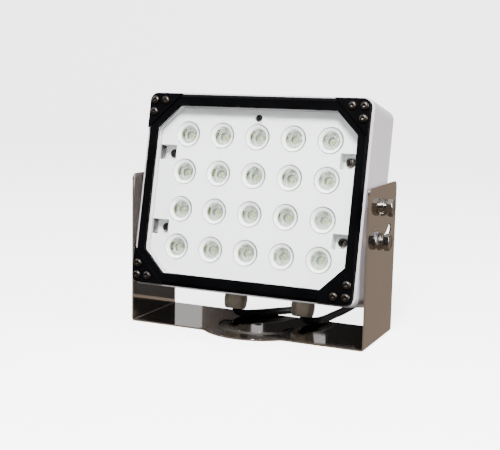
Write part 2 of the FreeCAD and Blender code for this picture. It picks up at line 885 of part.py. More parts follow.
def gland_seal(x):
    """Rubber sleeve that grips the cable inside the gland."""
    low = Vector(x, gland_behind, gland_wall - gland_flange - gland_nut)
    outer = Part.makeCylinder(gland_room_d / 2 - cable_clear, gland_nut + gland_seal_up, low)
    return outer.cut(Part.makeCylinder(cable_d / 2 + cable_clear, gland_nut + gland_seal_up, low))


def gland_locknut(x):
    """Hexagon nut that holds the gland from inside the cover."""
    at = Vector(x, gland_behind, gland_wall + cover_wall)
    nut = hexagon(gland_flats, locknut_t, at, Vector(0, 0, 1), 5)
    return nut.cut(Part.makeCylinder(gland_thread_d / 2 + thread_clear, locknut_t, at))


def inner_cable(x):
    """The straight end of a cable inside the rear cover and its gland."""
    low = Vector(x, gland_behind, gland_end + cable_start)
    high = gland_wall + cable_inside
    return Part.makeCylinder(cable_d / 2, high - low.z, low)


def route_edges(points, name):
    """Straight runs joined by tangent arcs, as lists of edges from bend to bend."""
    edges = []
    radii = []
    last = points[0]
    for k in range(1, len(points) - 1):
        here = points[k]
        back = points[k - 1] - here
        on = points[k + 1] - here
        turn = math.pi - back.getAngle(on)
        reach = 0.45 * min(back.Length, on.Length)
        radii.append(reach / math.tan(turn / 2))
        a = here + back.normalize() * reach
        b = here + on.normalize() * reach
        bisector = ((a + b) * 0.5 - here).normalize()
        middle = here + bisector * (radii[-1] / math.cos(turn / 2) - radii[-1])
        edges.append(Part.makeLine(last, a))
        edges.append(Part.Arc(a, middle, b).toShape())
        last = b
    edges.append(Part.makeLine(last, points[-1]))
    print(name, "radii", [round(r, 1) for r in radii])
    return edges


def halves(edges, place):
    """Cut a route in two at the middle of its straight run number place."""
    line = edges[2 * place]
    first, last = line.Vertexes[0].Point, line.Vertexes[-1].Point
    middle = (first + last) * 0.5
    before = edges[:2 * place] + [Part.makeLine(first, middle)]
    after = [Part.makeLine(middle, last)] + edges[2 * place + 1:]
    return before, after


def tube(edges, name):
    """A round tube along a route."""
    path = Part.Wire(edges)
    start = edges[0].Vertexes[0].Point
    along = edges[0].Vertexes[-1].Point - start
    circle = Part.Wire([Part.makeCircle(cable_d / 2, start, along)])
    solid = path.makePipeShell([circle], True, False)
    expected = math.pi * cable_d ** 2 / 4 * path.Length
    print(name, "length", round(path.Length, 1), "volume ratio", round(solid.Volume / expected, 4))
    return solid


def gland_point(x, below):
    """A point on a gland's axis, a distance below its mouth."""
    return head_point(x, gland_behind, gland_end - below)


def base_point(x, behind, level):
    """A route point, counted back from the glands' mouths."""
    return Vector(x, gland_point(x, 0).y + behind, level)


# Left cable: out of its gland, slantwise over the base, behind the right gland
# and back on the floor to its coil. Points by hand: x, distance behind the mouth, height.
left_route = [
    gland_point(-gland_x, -cable_start),
    gland_point(-gland_x, cable_drop),
    base_point(-29.2, -1.4, cable_level),
    base_point(-20.8, -1.0, cable_level),
    base_point(-9.0, 10.8, cable_level),
    base_point(3.5, 25.2, cable_level),
    base_point(13.0, 42.9, floor_level),
    base_point(15.0, 64.9, floor_level),
    base_point(7.5, 85.4, floor_level),
    base_point(-8.0, 101.1, floor_level),
    base_point(-25.0, 111.9, floor_level),
    base_point(-35.5, 126.9, floor_level),
    base_point(-39.0, 142.4, floor_level),
]
left_coil = base_point(-76.0, 156.4, 0)

# Right cable: out of its gland to the right, then straight back on the floor
right_route = [
    gland_point(gland_x, -cable_start),
    gland_point(gland_x, cable_drop),
    base_point(39.1, 0.7, cable_level),
    base_point(47.0, 2.9, cable_level),
    base_point(51.6, 15.9, cable_level),
    base_point(52.4, 30.4, cable_level),
    base_point(53.0, 54.4, floor_level),
    base_point(54.8, 84.4, floor_level),
    base_point(54.4, 114.4, floor_level),
    base_point(53.6, 142.4, floor_level),
]
right_coil = base_point(17.0, 158.4, 0)


def coil(centre):
    """The outer shape of a wound coil lying flat."""
    half = cable_d
    height = coil_layers * cable_d
    base = centre + Vector(0, 0, cable_clear)
    body = Part.makeCylinder(coil_mid_radius + half, height, base)
    body = body.cut(Part.makeCylinder(coil_mid_radius - half, height, base))
    return body.makeFillet(cable_d / 2.5, [e for e in body.Edges if e.Closed])


def cables():
    """Both cables, each as an inner end, a bend, a run and a coil."""
    sets = [
        ("left", -gland_x, left_route, left_coil),
        ("right", gland_x, right_route, right_coil),
    ]
    for name, x, route, centre in sets:
        save("cable_" + name + "_inner", head(inner_cable(x)))
        wound = coil(centre)
        save("cable_" + name + "_coil", wound)
        bend, run = halves(route_edges(route, name), bend_runs)
        save("cable_" + name + "_bend", tube(bend, name + " bend"))
        loose = tube(run, name + " run").cut(wound)
        pieces = sorted(loose.Solids, key=lambda part: -part.Volume)
        save("cable_" + name + "_run", pieces[0])


def head_pieces():
    """The tilting head, from the front to the back."""
    save("housing", head(housing()))
    save("front_frame", head(front_frame()))
    save("front_glass", head(front_glass()))
    save("glass_gasket", head(glass_gasket()))
    for name, way_x, way_z in [("top_left", -1, 1), ("top_right", 1, 1),
                               ("bottom_left", -1, -1), ("bottom_right", 1, -1)]:
        save("corner_plate_" + name, head(corner_plate(way_x, way_z)))
    screws = [button_screw(x, z, plate_front, corner_screw_length) for x, z in corner_screw_places()]
    save("corner_screws", head(group(screws)))
    save("lens_panel", head(lens_panel()))
    seat = carrier_front + pocket_floor
    screws = [
        pan_screw(x, z, seat, panel_screw_length, m4_d, m4_pan_d, m4_pan_height)
        for x, z in four(panel_screw_x, pocket_z)
    ]
    save("panel_screws", head(group(screws)))
    save("carrier_plate", head(carrier_plate()))
    save("led_board", head(led_board()))
    save("leds", head(group([led(x, z) for _, _, x, z in lens_places()])))
    for row, column, x, z in lens_places():
        save("lens_row%d_column%d" % (row, column), head(lens(x, z)))
    save("light_sensor", head(light_sensor()))


def rear_pieces():
    """The rear cover and what it carries."""
    save("rear_cover", head(rear_cover()))
    save("rear_gasket", head(rear_gasket()))
    seat = cover_ahead - cover_flange_t
    screws = [
        pan_screw(x, z, seat, rear_screw_length, m4_d, m4_button_d, m4_button_height, False)
        for x, z in rear_screw_places()
    ]
    save("rear_cover_screws", head(group(screws)))
    save("driver", head(driver()))
    seat = cover_back + cover_wall + driver_ear_t
    screws = [
        pan_screw(x, z, seat, m3_length - 1, m3_d, m3_pan_d, m3_pan_height)
        for x, z in driver_screw_places()
    ]
    save("driver_screws", head(group(screws)))
    save("terminal_block", head(terminal_block()))
    for name, x in [("left", -gland_x), ("right", gland_x)]:
        save("gland_body_" + name, head(gland_body(x)))
        save("gland_nut_" + name, head(gland_nut_piece(x)))
    save("gland_seals", head(group([gland_seal(-gland_x), gland_seal(gland_x)])))
    save("gland_locknuts", head(group([gland_locknut(-gland_x), gland_locknut(gland_x)])))


def side_hardware():
    """Bolts and washers at both arms; they tilt with the head."""
    places = [(way, z) for z, _ in bolt_places() for way in (-1, 1)]
    save("side_bolts", head(group([side_bolt(way, z) for way, z in places])))
    save("spring_washers", head(group([spring_washer(way, z) for way, z in places])))
    bore = bolt_d + 2 * washer_clear
    flats = [washer(way, z, flat_washer_d, bore, 0, flat_washer_t) for way, z in places]
    save("flat_washers", head(group(flats)))


def main():
    """Build every piece."""
    os.makedirs("parts", exist_ok=True)
    save("bracket", bracket())
    head_pieces()
    rear_pieces()
    side_hardware()
    cables()


main()
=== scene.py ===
import json
import math

import bpy
from bpy.props import FloatProperty, FloatVectorProperty, PointerProperty
from mathutils import Matrix, Vector


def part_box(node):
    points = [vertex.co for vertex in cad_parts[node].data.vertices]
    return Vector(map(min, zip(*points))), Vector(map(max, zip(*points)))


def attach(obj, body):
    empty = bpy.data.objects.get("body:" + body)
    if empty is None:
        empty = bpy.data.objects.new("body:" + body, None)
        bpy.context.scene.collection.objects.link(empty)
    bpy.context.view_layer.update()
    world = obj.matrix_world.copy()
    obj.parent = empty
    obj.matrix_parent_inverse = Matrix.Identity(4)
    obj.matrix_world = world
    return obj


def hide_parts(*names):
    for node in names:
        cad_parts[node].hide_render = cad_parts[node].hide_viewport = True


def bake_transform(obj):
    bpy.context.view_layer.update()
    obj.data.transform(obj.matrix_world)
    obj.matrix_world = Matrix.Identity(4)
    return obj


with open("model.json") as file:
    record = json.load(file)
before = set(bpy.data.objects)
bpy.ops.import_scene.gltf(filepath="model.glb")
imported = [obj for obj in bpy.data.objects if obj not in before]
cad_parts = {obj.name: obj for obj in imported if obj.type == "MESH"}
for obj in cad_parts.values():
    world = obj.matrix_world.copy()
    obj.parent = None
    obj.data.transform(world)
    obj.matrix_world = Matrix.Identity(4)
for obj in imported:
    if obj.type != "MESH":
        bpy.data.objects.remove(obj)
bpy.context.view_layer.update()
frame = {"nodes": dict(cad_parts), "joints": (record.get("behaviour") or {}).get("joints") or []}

bl_info = {
    "name": "Infrared Illuminator Dresser",
    "version": (1, 0, 0),
    "blender": (4, 5, 0),
    "location": "3D View > Sidebar > Illuminator",
    "description": "Dresses an infrared flood lamp in a U bracket: lenses, screws, glands, cables and finishes",
    "category": "Object",
}

MM = 0.001

# The head is drawn upright round its tilt axis, then tilted back
TILT_AXIS = Vector(frame["joints"][0]["pos_m"])
REST_TILT = math.radians(11.66)
HEAD = Matrix.Translation(TILT_AXIS) @ Matrix.Rotation(-REST_TILT, 4, "X")
AHEAD = Matrix.Rotation(math.radians(90), 4, "X")
ROWS = 4
COLUMNS = 5

# Cables: points, in metres, from inside the gland to the coil
CABLE_LEVEL = 0.0051
FLOOR_LEVEL = 0.0036
LEFT_ROUTE = [
    (-0.0292, 0.0202, CABLE_LEVEL),
    (-0.0208, 0.0206, CABLE_LEVEL),
    (-0.0090, 0.0324, CABLE_LEVEL),
    (0.0035, 0.0468, CABLE_LEVEL),
    (0.0130, 0.0645, FLOOR_LEVEL),
    (0.0150, 0.0865, FLOOR_LEVEL),
    (0.0075, 0.1070, FLOOR_LEVEL),
    (-0.0080, 0.1227, FLOOR_LEVEL),
    (-0.0250, 0.1335, FLOOR_LEVEL),
    (-0.0355, 0.1485, FLOOR_LEVEL),
    (-0.0390, 0.1640, FLOOR_LEVEL),
]
LEFT_COIL = (-0.076, 0.178)
RIGHT_ROUTE = [
    (0.0391, 0.0223, CABLE_LEVEL),
    (0.0470, 0.0245, CABLE_LEVEL),
    (0.0516, 0.0375, CABLE_LEVEL),
    (0.0524, 0.0520, CABLE_LEVEL),
    (0.0530, 0.0760, FLOOR_LEVEL),
    (0.0548, 0.1060, FLOOR_LEVEL),
    (0.0544, 0.1360, FLOOR_LEVEL),
    (0.0536, 0.1640, FLOOR_LEVEL),
]
RIGHT_COIL = (0.017, 0.180)


class LampSizes(bpy.types.PropertyGroup):
    """Sizes of the parts that are modelled here"""

    lens_diameter: FloatProperty(
        name="Lens diameter", description="Across the flat rim of a lens",
        default=22.6 * MM, min=0.01, max=0.03, unit="LENGTH", precision=4)
    lens_height: FloatProperty(
        name="Lens height", description="From the light board to the lens face",
        default=11.2 * MM, min=0.005, max=0.02, unit="LENGTH", precision=4)
    button_diameter: FloatProperty(
        name="Button head", description="Across the head of a corner screw",
        default=7.6 * MM, min=0.004, max=0.01, unit="LENGTH", precision=4)
    bolt_flats: FloatProperty(
        name="Bolt flats", description="Across the flats of a side bolt's head",
        default=13 * MM, min=0.008, max=0.02, unit="LENGTH", precision=4)
    gland_flats: FloatProperty(
        name="Gland flats", description="Across the flats of a cable gland",
        default=19 * MM, min=0.012, max=0.03, unit="LENGTH", precision=4)
    cable_diameter: FloatProperty(
        name="Cable", description="Diameter of a cable's jacket",
        default=7 * MM, min=0.004, max=0.012, unit="LENGTH", precision=4)
    edge_round: FloatProperty(
        name="Edge rounding", description="Rounding of the castings' edges",
        default=0.5 * MM, min=0.0, max=0.001, unit="LENGTH", precision=5)


class LampColours(bpy.types.PropertyGroup):
    """Colours of the lamp's finishes"""

    paint: FloatVectorProperty(
        name="White paint", description="Powder coat of housing and rear cover",
        default=(0.53, 0.50, 0.525), min=0, max=1, subtype="COLOR")
    black: FloatVectorProperty(
        name="Black coat", description="Satin coat of the front frame",
        default=(0.002, 0.002, 0.0025), min=0, max=1, subtype="COLOR")
    panel: FloatVectorProperty(
        name="Lens panel", description="Moulded tray round the lenses",
        default=(0.62, 0.63, 0.63), min=0, max=1, subtype="COLOR")
    gland: FloatVectorProperty(
        name="Gland", description="Grey-beige nylon of the cable glands",
        default=(0.34, 0.30, 0.24), min=0, max=1, subtype="COLOR")
    steel: FloatVectorProperty(
        name="Polished steel", description="Tint of the bracket's mirror finish",
        default=(0.62, 0.59, 0.56), min=0, max=1, subtype="COLOR")
    jacket: FloatVectorProperty(
        name="Cable jacket", description="Black jacket of the cables",
        default=(0.003, 0.003, 0.0035), min=0, max=1, subtype="COLOR")


class StudioSettings(bpy.types.PropertyGroup):
    """Light and floor of the studio"""

    key_power: FloatProperty(
        name="Key light", description="Power of the large soft light above",
        default=68.0, min=0, max=200, unit="POWER")
    fill_power: FloatProperty(
        name="Side light", description="Power of the soft light at the right",
        default=30.0, min=0, max=100, unit="POWER")
    sky: FloatProperty(
        name="Surroundings", description="Brightness of the pale room",
        default=0.24, min=0, max=5)
    floor: FloatVectorProperty(
        name="Floor", description="Colour of the floor sweep",
        default=(0.88, 0.88, 0.88), min=0, max=1, subtype="COLOR")


# Modelling helpers

def deselect():
    """Select nothing, so that an operator acts on new work alone."""
    bpy.ops.object.select_all(action="DESELECT")


def settle(piece, matrix):
    """Put a piece in its place and keep that place in its mesh."""
    deselect()
    piece.select_set(True)
    bpy.context.view_layer.objects.active = piece
    piece.matrix_world = matrix @ piece.matrix_world
    bpy.ops.object.transform_apply(location=True, rotation=True, scale=True)
    return piece


def turned(name, rings, sides=48, hollow=False):
    """A body of revolution round Z, extruded and scaled from ring to ring of radius and height."""
    deselect()
    radius, height = rings[0]
    fill = "NOTHING" if hollow else "NGON"
    bpy.ops.mesh.primitive_circle_add(
        vertices=sides, radius=radius, fill_type=fill, location=(0, 0, height))
    piece = bpy.context.object
    piece.name = name
    bpy.ops.object.mode_set(mode="EDIT")
    bpy.ops.mesh.select_all(action="SELECT")
    for next_radius, next_height in rings[1:]:
        rise = (0, 0, next_height - height)
        bpy.ops.mesh.extrude_region_move(TRANSFORM_OT_translate={"value": rise})
        scale = next_radius / radius
        bpy.ops.transform.resize(value=(scale, scale, 1), center_override=(0, 0, next_height))
        radius, height = next_radius, next_height
    if hollow:
        bpy.ops.mesh.select_all(action="DESELECT")
        bpy.ops.mesh.select_non_manifold()
        bpy.ops.mesh.bridge_edge_loops()
    bpy.ops.mesh.select_all(action="SELECT")
    bpy.ops.mesh.normals_make_consistent(inside=False)
    bpy.ops.object.mode_set(mode="OBJECT")
    return settle(piece, Matrix.Identity(4))


def hexagon_bar(name, flats, low, high):
    """A plain hexagonal bar along Z."""
    deselect()
    bpy.ops.mesh.primitive_cylinder_add(
        vertices=6, radius=flats / math.sqrt(3), depth=high - low, location=(0, 0, (low + high) / 2))
    piece = bpy.context.object
    piece.name = name
    return settle(piece, Matrix.Identity(4))


def block(name, low, high):
    """A plain block between two corners."""
    deselect()
    middle = (Vector(low) + Vector(high)) / 2
    bpy.ops.mesh.primitive_cube_add(size=1, location=middle)
    piece = bpy.context.object
    piece.name = name
    piece.scale = Vector(high) - Vector(low)
    return settle(piece, Matrix.Identity(4))


def combine(piece, tool, how):
    """Cut, keep or join a piece by a tool, which is used up."""
    change = piece.modifiers.new("Combine", "BOOLEAN")
    change.object = tool
    change.operation = how
    change.solver = "EXACT"
    bpy.context.view_layer.objects.active = piece
    bpy.ops.object.modifier_apply(modifier=change.name)
    bpy.data.objects.remove(tool)
    return piece


def soften(piece, width, segments=2):
    """Round a piece's sharp edges and smooth its curved faces."""
    rounding = piece.modifiers.new("Edges", "BEVEL")
    rounding.width = width
    rounding.segments = segments
    rounding.limit_method = "ANGLE"
    rounding.angle_limit = math.radians(35)
    bpy.context.view_layer.objects.active = piece
    bpy.ops.object.modifier_apply(modifier=rounding.name)
    return smooth(piece)


def smooth(piece):
    """Smooth the curved faces and keep the creases."""
    deselect()
    piece.select_set(True)
    bpy.context.view_layer.objects.active = piece
    bpy.ops.object.shade_smooth_by_angle(angle=math.radians(35))
    return piece


def copied(pattern, name, matrix):
    """A copy of a finished pattern with a mesh of its own, put in its place."""
    twin = pattern.copy()
    twin.data = pattern.data.copy()
    twin.name = name
    bpy.context.scene.collection.objects.link(twin)
    return settle(twin, matrix)


def patterned(pattern, name, places):
    """Copies of one pattern at several places, joined as one piece. The pattern is used up."""
    twins = [copied(pattern, name, place) for place in places]
    bpy.data.objects.remove(pattern)
    deselect()
    for twin in twins:
        twin.select_set(True)
    bpy.context.view_layer.objects.active = twins[0]
    bpy.ops.object.join()
    twins[0].name = name
    return twins[0]


def belong(piece, body, nodes, material):
    """Hang a new piece on its body, in place of the plain solids, with its finish."""
    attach(piece, body)
    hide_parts(*nodes)
    piece.data.materials.clear()
    piece.data.materials.append(material)
    return piece


def upright_box(node):
    """A head node's lowest and highest corner in the upright head's own axes."""
    back = HEAD.inverted()
    points = [back @ v.co for v in frame["nodes"][node].data.vertices]
    low = Vector([min(p[k] for p in points) for k in range(3)])
    high = Vector([max(p[k] for p in points) for k in range(3)])
    return low, high


def in_head(x, y, z, turn=None):
    """A place in the upright head, tilted with it."""
    return HEAD @ Matrix.Translation((x, y, z)) @ (turn or Matrix.Identity(4))


# Node helpers and shared effects

def add_node(tree, kind, links=None, **settings):
    """Add a node. Links are values or sockets by input name or number."""
    made = tree.nodes.new(kind)
    for key, value in settings.items():
        setattr(made, key, value)
    for key, value in (links or {}).items():
        if isinstance(value, bpy.types.NodeSocket):
            tree.links.new(value, made.inputs[key])
        else:
            made.inputs[key].default_value = value
    return made


def new_group(name, inputs, outputs):
    """An empty shader group with its named sockets."""
    group = bpy.data.node_groups.new(name, "ShaderNodeTree")
    for title, default in inputs:
        kind = "NodeSocketColor" if isinstance(default, tuple) else "NodeSocketFloat"
        socket = group.interface.new_socket(title, in_out="INPUT", socket_type=kind)
        socket.default_value = default
    for title, kind in outputs:
        group.interface.new_socket(title, in_out="OUTPUT", socket_type=kind)
    return group, group.nodes.new("NodeGroupInput"), group.nodes.new("NodeGroupOutput")


def grain_group():
    """Fine grain: a value that wanders between two limits over the surface."""
    name = "Fine grain"
    if name in bpy.data.node_groups:
        return bpy.data.node_groups[name]
    inputs = [("Scale", 400.0), ("Detail", 3.0), ("Low", 0.0), ("High", 1.0)]
    group, given, out = new_group(name, inputs, [("Value", "NodeSocketFloat")])
    place = add_node(group, "ShaderNodeTexCoord")
    links = {"Vector": place.outputs["Object"], "Scale": given.outputs["Scale"], "Detail": given.outputs["Detail"]}
    noise = add_node(group, "ShaderNodeTexNoise", links)
    spread = add_node(group, "ShaderNodeMapRange", {
        "Value": noise.outputs["Fac"], "From Min": 0.3, "From Max": 0.7,
        "To Min": given.outputs["Low"], "To Max": given.outputs["High"]})
    group.links.new(spread.outputs["Result"], out.inputs["Value"])
    return group


def mottle_group():
    """Broad, soft change between two colours."""
    name = "Soft mottle"
    if name in bpy.data.node_groups:
        return bpy.data.node_groups[name]
    inputs = [("Scale", 20.0), ("Light", (0.8, 0.8, 0.8, 1.0)), ("Shade", (0.7, 0.7, 0.7, 1.0))]
    group, given, out = new_group(name, inputs, [("Color", "NodeSocketColor")])
    place = add_node(group, "ShaderNodeTexCoord")
    noise = add_node(group, "ShaderNodeTexNoise", {
        "Vector": place.outputs["Object"], "Scale": given.outputs["Scale"], "Detail": 4.0})
    step = add_node(group, "ShaderNodeMapRange", {
        "Value": noise.outputs["Fac"], "From Min": 0.35, "From Max": 0.65})
    mix = add_node(group, "ShaderNodeMix", {
        0: step.outputs["Result"], 6: given.outputs["Light"], 7: given.outputs["Shade"]}, data_type="RGBA")
    group.links.new(mix.outputs[2], out.inputs["Color"])
    return group


def scratch_group():
    """Fine handling marks, as thin lines that fade in and out."""
    name = "Handling marks"
    if name in bpy.data.node_groups:
        return bpy.data.node_groups[name]
    inputs = [("Scale", 90.0), ("Amount", 0.3)]
    group, given, out = new_group(name, inputs, [("Mask", "NodeSocketFloat")])
    place = add_node(group, "ShaderNodeTexCoord")
    total = None
    for angle, stretch in ((0.5, 18.0), (-0.9, 25.0)):
        lay = add_node(group, "ShaderNodeMapping", {
            "Vector": place.outputs["Object"], "Rotation": (angle, angle, angle), "Scale": (1.0, stretch, stretch)})
        lines = add_node(group, "ShaderNodeTexNoise", {
            "Vector": lay.outputs["Vector"], "Scale": given.outputs["Scale"], "Detail": 2.0})
        thin = add_node(group, "ShaderNodeMapRange", {
            "Value": lines.outputs["Fac"], "From Min": 0.62, "From Max": 0.72})
        if total is None:
            total = thin.outputs["Result"]
        else:
            total = add_node(group, "ShaderNodeMath", {0: total, 1: thin.outputs["Result"]}, operation="MAXIMUM").outputs[0]
    patches = add_node(group, "ShaderNodeTexNoise", {"Vector": place.outputs["Object"], "Scale": 25.0})
    faded = add_node(group, "ShaderNodeMath", {0: total, 1: patches.outputs["Fac"]}, operation="MULTIPLY")
    scaled = add_node(group, "ShaderNodeMath", {0: faded.outputs[0], 1: given.outputs["Amount"]}, operation="MULTIPLY")
    group.links.new(scaled.outputs[0], out.inputs["Mask"])
    return group


def grain(tree, scale, low, high, detail=3.0):
    """The fine grain's value in a material."""
    made = add_node(tree, "ShaderNodeGroup", node_tree=grain_group())
    for key, value in (("Scale", scale), ("Detail", detail), ("Low", low), ("High", high)):
        made.inputs[key].default_value = value
    return made.outputs["Value"]


def mottle(tree, scale, light, shade):
    """The soft mottle's colour in a material."""
    made = add_node(tree, "ShaderNodeGroup", node_tree=mottle_group())
    made.inputs["Scale"].default_value = scale
    made.inputs["Light"].default_value = (*light, 1.0)
    made.inputs["Shade"].default_value = (*shade, 1.0)
    return made.outputs["Color"]


def marks(tree, scale, amount):
    """The handling marks' mask in a material."""
    made = add_node(tree, "ShaderNodeGroup", node_tree=scratch_group())
    made.inputs["Scale"].default_value = scale
    made.inputs["Amount"].default_value = amount
    return made.outputs["Mask"]


def dimmed(colour, share):
    """A colour made darker by a share."""
    return tuple(c * share for c in colour)


def surface(name, colour, rough, grains, relief, metal=0.0, shade=0.9, scratch=0.0, **sockets):
    """A surface with mottled colour, grained roughness and a fine relief.

    Rough is its lowest and highest roughness, grains the scales of colour, roughness and relief,
    and relief the height of the grain in metres."""
    if name in bpy.data.materials:
        return bpy.data.materials[name]
    material = bpy.data.materials.new(name)
    material.use_nodes = True
    tree = material.node_tree
    tree.nodes.clear()
    base = mottle(tree, grains[0], colour, dimmed(colour, shade))
    gloss = grain(tree, grains[1], *rough)
    height = grain(tree, grains[2], 0.0, 1.0, 2.0)
    if scratch:
        lines = marks(tree, 90.0, scratch)
        gloss = add_node(tree, "ShaderNodeMath", {0: gloss, 1: lines}, operation="ADD").outputs[0]
        height = add_node(tree, "ShaderNodeMath", {0: height, 1: lines}, operation="SUBTRACT").outputs[0]
    bump = add_node(tree, "ShaderNodeBump", {"Height": height, "Distance": relief, "Strength": 1.0})
    shader = add_node(tree, "ShaderNodeBsdfPrincipled", {
        "Base Color": base, "Roughness": gloss, "Metallic": metal, "Normal": bump.outputs["Normal"]})
    for key, value in sockets.items():
        shader.inputs[key.replace("_", " ")].default_value = value
    out = add_node(tree, "ShaderNodeOutputMaterial")
    tree.links.new(shader.outputs["BSDF"], out.inputs["Surface"])
    return material


def clear(name, colour, rough, ior, relief, scale, passing=1.0):
    """A clear solid that lets lamps through. Passing is the share that isn't milky."""
    if name in bpy.data.materials:
        return bpy.data.materials[name]
    material = bpy.data.materials.new(name)
    material.use_nodes = True
    tree = material.node_tree
    tree.nodes.clear()
    bump = add_node(tree, "ShaderNodeBump", {"Height": grain(tree, scale, 0.0, 1.0), "Distance": relief, "Strength": 1.0})
    shader = add_node(tree, "ShaderNodeBsdfPrincipled", {
        "Base Color": mottle(tree, scale / 4, colour, dimmed(colour, 0.985)),
        "Roughness": grain(tree, scale, *rough), "Normal": bump.outputs["Normal"]})
    shader.inputs["IOR"].default_value = ior
    shader.inputs["Transmission Weight"].default_value = passing
    ray = add_node(tree, "ShaderNodeLightPath")
    open_way = add_node(tree, "ShaderNodeBsdfTransparent", {"Color": (1.0, 1.0, 1.0, 1.0)})
    mix = add_node(tree, "ShaderNodeMixShader", {
        0: ray.outputs["Is Shadow Ray"], 1: shader.outputs["BSDF"], 2: open_way.outputs["BSDF"]})
    out = add_node(tree, "ShaderNodeOutputMaterial")
    tree.links.new(mix.outputs["Shader"], out.inputs["Surface"])
    return material


# Finishes of the lamp

def white_paint():
    colour = tuple(bpy.context.scene.lamp_colours.paint)
    return surface("White powder coat", colour, (0.30, 0.42), (14, 260, 900), 0.00002, shade=0.96, Coat_Weight=0.15)


def black_coat():
    colour = tuple(bpy.context.scene.lamp_colours.black)
    return surface("Satin black coat", colour, (0.30, 0.42), (30, 500, 1800), 0.000012, shade=0.6,
                   Specular_IOR_Level=0.02)


def mirror_steel():
    colour = tuple(bpy.context.scene.lamp_colours.steel)
    return surface("Mirror-polished steel", colour, (0.035, 0.085), (9, 30, 16), 0.00006, metal=1.0,
                   shade=0.93, scratch=0.12)


def turned_steel():
    return surface("Turned stainless steel", (0.33, 0.31, 0.285), (0.1, 0.18), (120, 600, 1500), 0.000004,
                   metal=1.0, shade=0.86, scratch=0.1)


def dark_steel():
    return surface("Dark stainless steel", (0.06, 0.053, 0.048), (0.28, 0.38), (120, 600, 1500), 0.000004,
                   metal=1.0, shade=0.8, scratch=0.1)


def panel_white():
    colour = tuple(bpy.context.scene.lamp_colours.panel)
    return surface("Matte white tray", colour, (0.45, 0.58), (10, 700, 2600), 0.000012, shade=0.965)


def nylon():
    colour = tuple(bpy.context.scene.lamp_colours.gland)
    return surface("Grey-beige nylon", colour, (0.42, 0.55), (120, 800, 2200), 0.00001, shade=0.88)


def jacket():
    colour = tuple(bpy.context.scene.lamp_colours.jacket)
    return surface("Cable jacket", colour, (0.38, 0.52), (60, 600, 2500), 0.000015, shade=0.7,
                   Specular_IOR_Level=0.2)


def rubber():
    return surface("Black rubber", (0.012, 0.012, 0.013), (0.6, 0.75), (60, 500, 2000), 0.00002, shade=0.7)


def white_silicone():
    return surface("White silicone", (0.68, 0.68, 0.67), (0.45, 0.6), (60, 500, 2000), 0.00001, shade=0.95)


def aluminium():
    return surface("Plain aluminium", (0.72, 0.72, 0.72), (0.3, 0.45), (60, 500, 1600), 0.00001,
                   metal=1.0, shade=0.9, scratch=0.3)


# painted shade: the board under the lenses is a dark grey-green, so the lenses show dark arcs of shade
def board_with_painted_shade():
    return surface("White solder mask", (0.28, 0.31, 0.26), (0.3, 0.42), (260, 500, 1800), 0.00001, shade=0.85)


def ceramic():
    return surface("Emitter ceramic", (0.42, 0.38, 0.22), (0.3, 0.45), (700, 900, 2600), 0.00001, shade=0.55)


def dark_plastic():
    return surface("Dark plastic", (0.006, 0.006, 0.008), (0.12, 0.2), (90, 500, 2000), 0.000008, shade=0.6)


def pane():
    return clear("Clear pane", (0.985, 1.0, 0.99), (0.0, 0.012), 1.5, 0.000002, 60.0)


def acrylic():
    return clear("Clear acrylic", (0.82, 0.86, 0.81), (0.01, 0.04), 1.49, 0.00002, 300.0)


def frost():
    return clear("Frosted acrylic", (0.93, 0.945, 0.93), (0.2, 0.3), 1.49, 0.00001, 500.0, 0.2)


def silicone():
    return clear("Clear silicone", (0.96, 0.96, 0.9), (0.02, 0.06), 1.42, 0.000004, 900.0)


NODE_FINISHES = {
    "bracket": mirror_steel,
    "housing": white_paint,
    "rear_cover": white_paint,
    "front_frame": black_coat,
    "corner_plate_top_left": black_coat,
    "corner_plate_top_right": black_coat,
    "corner_plate_bottom_left": black_coat,
    "corner_plate_bottom_right": black_coat,
    "front_glass": pane,
    "glass_gasket": white_silicone,
    "rear_gasket": rubber,
    "gland_seals": rubber,
    "gland_locknuts": nylon,
    "lens_panel": panel_white,
    "carrier_plate": aluminium,
    "driver": aluminium,
    "driver_screws": turned_steel,
    "led_board": board_with_painted_shade,
    "terminal_block": dark_plastic,
    "cable_left_inner": jacket,
    "cable_right_inner": jacket,
}
ROUNDED_NODES = {
    "bracket": 0.25, "housing": 0.25, "rear_cover": 0.5, "front_frame": 0.25, "lens_panel": 0.35,
    "corner_plate_top_left": 0.2, "corner_plate_top_right": 0.2,
    "corner_plate_bottom_left": 0.2, "corner_plate_bottom_right": 0.2,
}


def dress(node, material, width):
    """Give a solid its finish and, where a width is given, rounded edges."""
    piece = frame["nodes"][node]
    if piece.material_slots:
        for place in piece.material_slots:
            place.material = material
    else:
        piece.data.materials.append(material)
    if not width:
        return
    weld = piece.modifiers.new("Weld", "WELD")
    weld.merge_threshold = 0.002 * MM
    rounding = piece.modifiers.new("Edges", "BEVEL")
    rounding.width = width
    rounding.segments = 2
    rounding.limit_method = "ANGLE"
    rounding.angle_limit = math.radians(30)
    rounding.harden_normals = True
    even = piece.modifiers.new("Normals", "WEIGHTED_NORMAL")
    even.keep_sharp = True


# Cables

def coil_points(centre, total):
    """Turns that lie beside and on each other, until the coil's share of the cable is used up."""
    outer, inner = 40.5 * MM, 33.5 * MM
    layers = [3.6 * MM, 10.6 * MM, 17.6 * MM]
    step, start = 15, -5
    stays = [(330, outer, layers[0]), (300, inner, layers[0]), (300, inner, layers[1]),
             (300, outer, layers[1]), (300, outer, layers[2]), (330, inner, layers[2])]
    inside = (3 + math.cos(math.radians(step))) / 4
    points = []
    used = 0.0
    angle = start
    for sweep, radius, height in stays:
        for _ in range(sweep // step):
            if used > total:
                return points
            a = math.radians(angle)
            reach = radius / inside
            points.append((centre[0] + reach * math.cos(a), centre[1] + reach * math.sin(a), height))
            used += radius * math.radians(step)
            angle += step
        angle += step
    return points


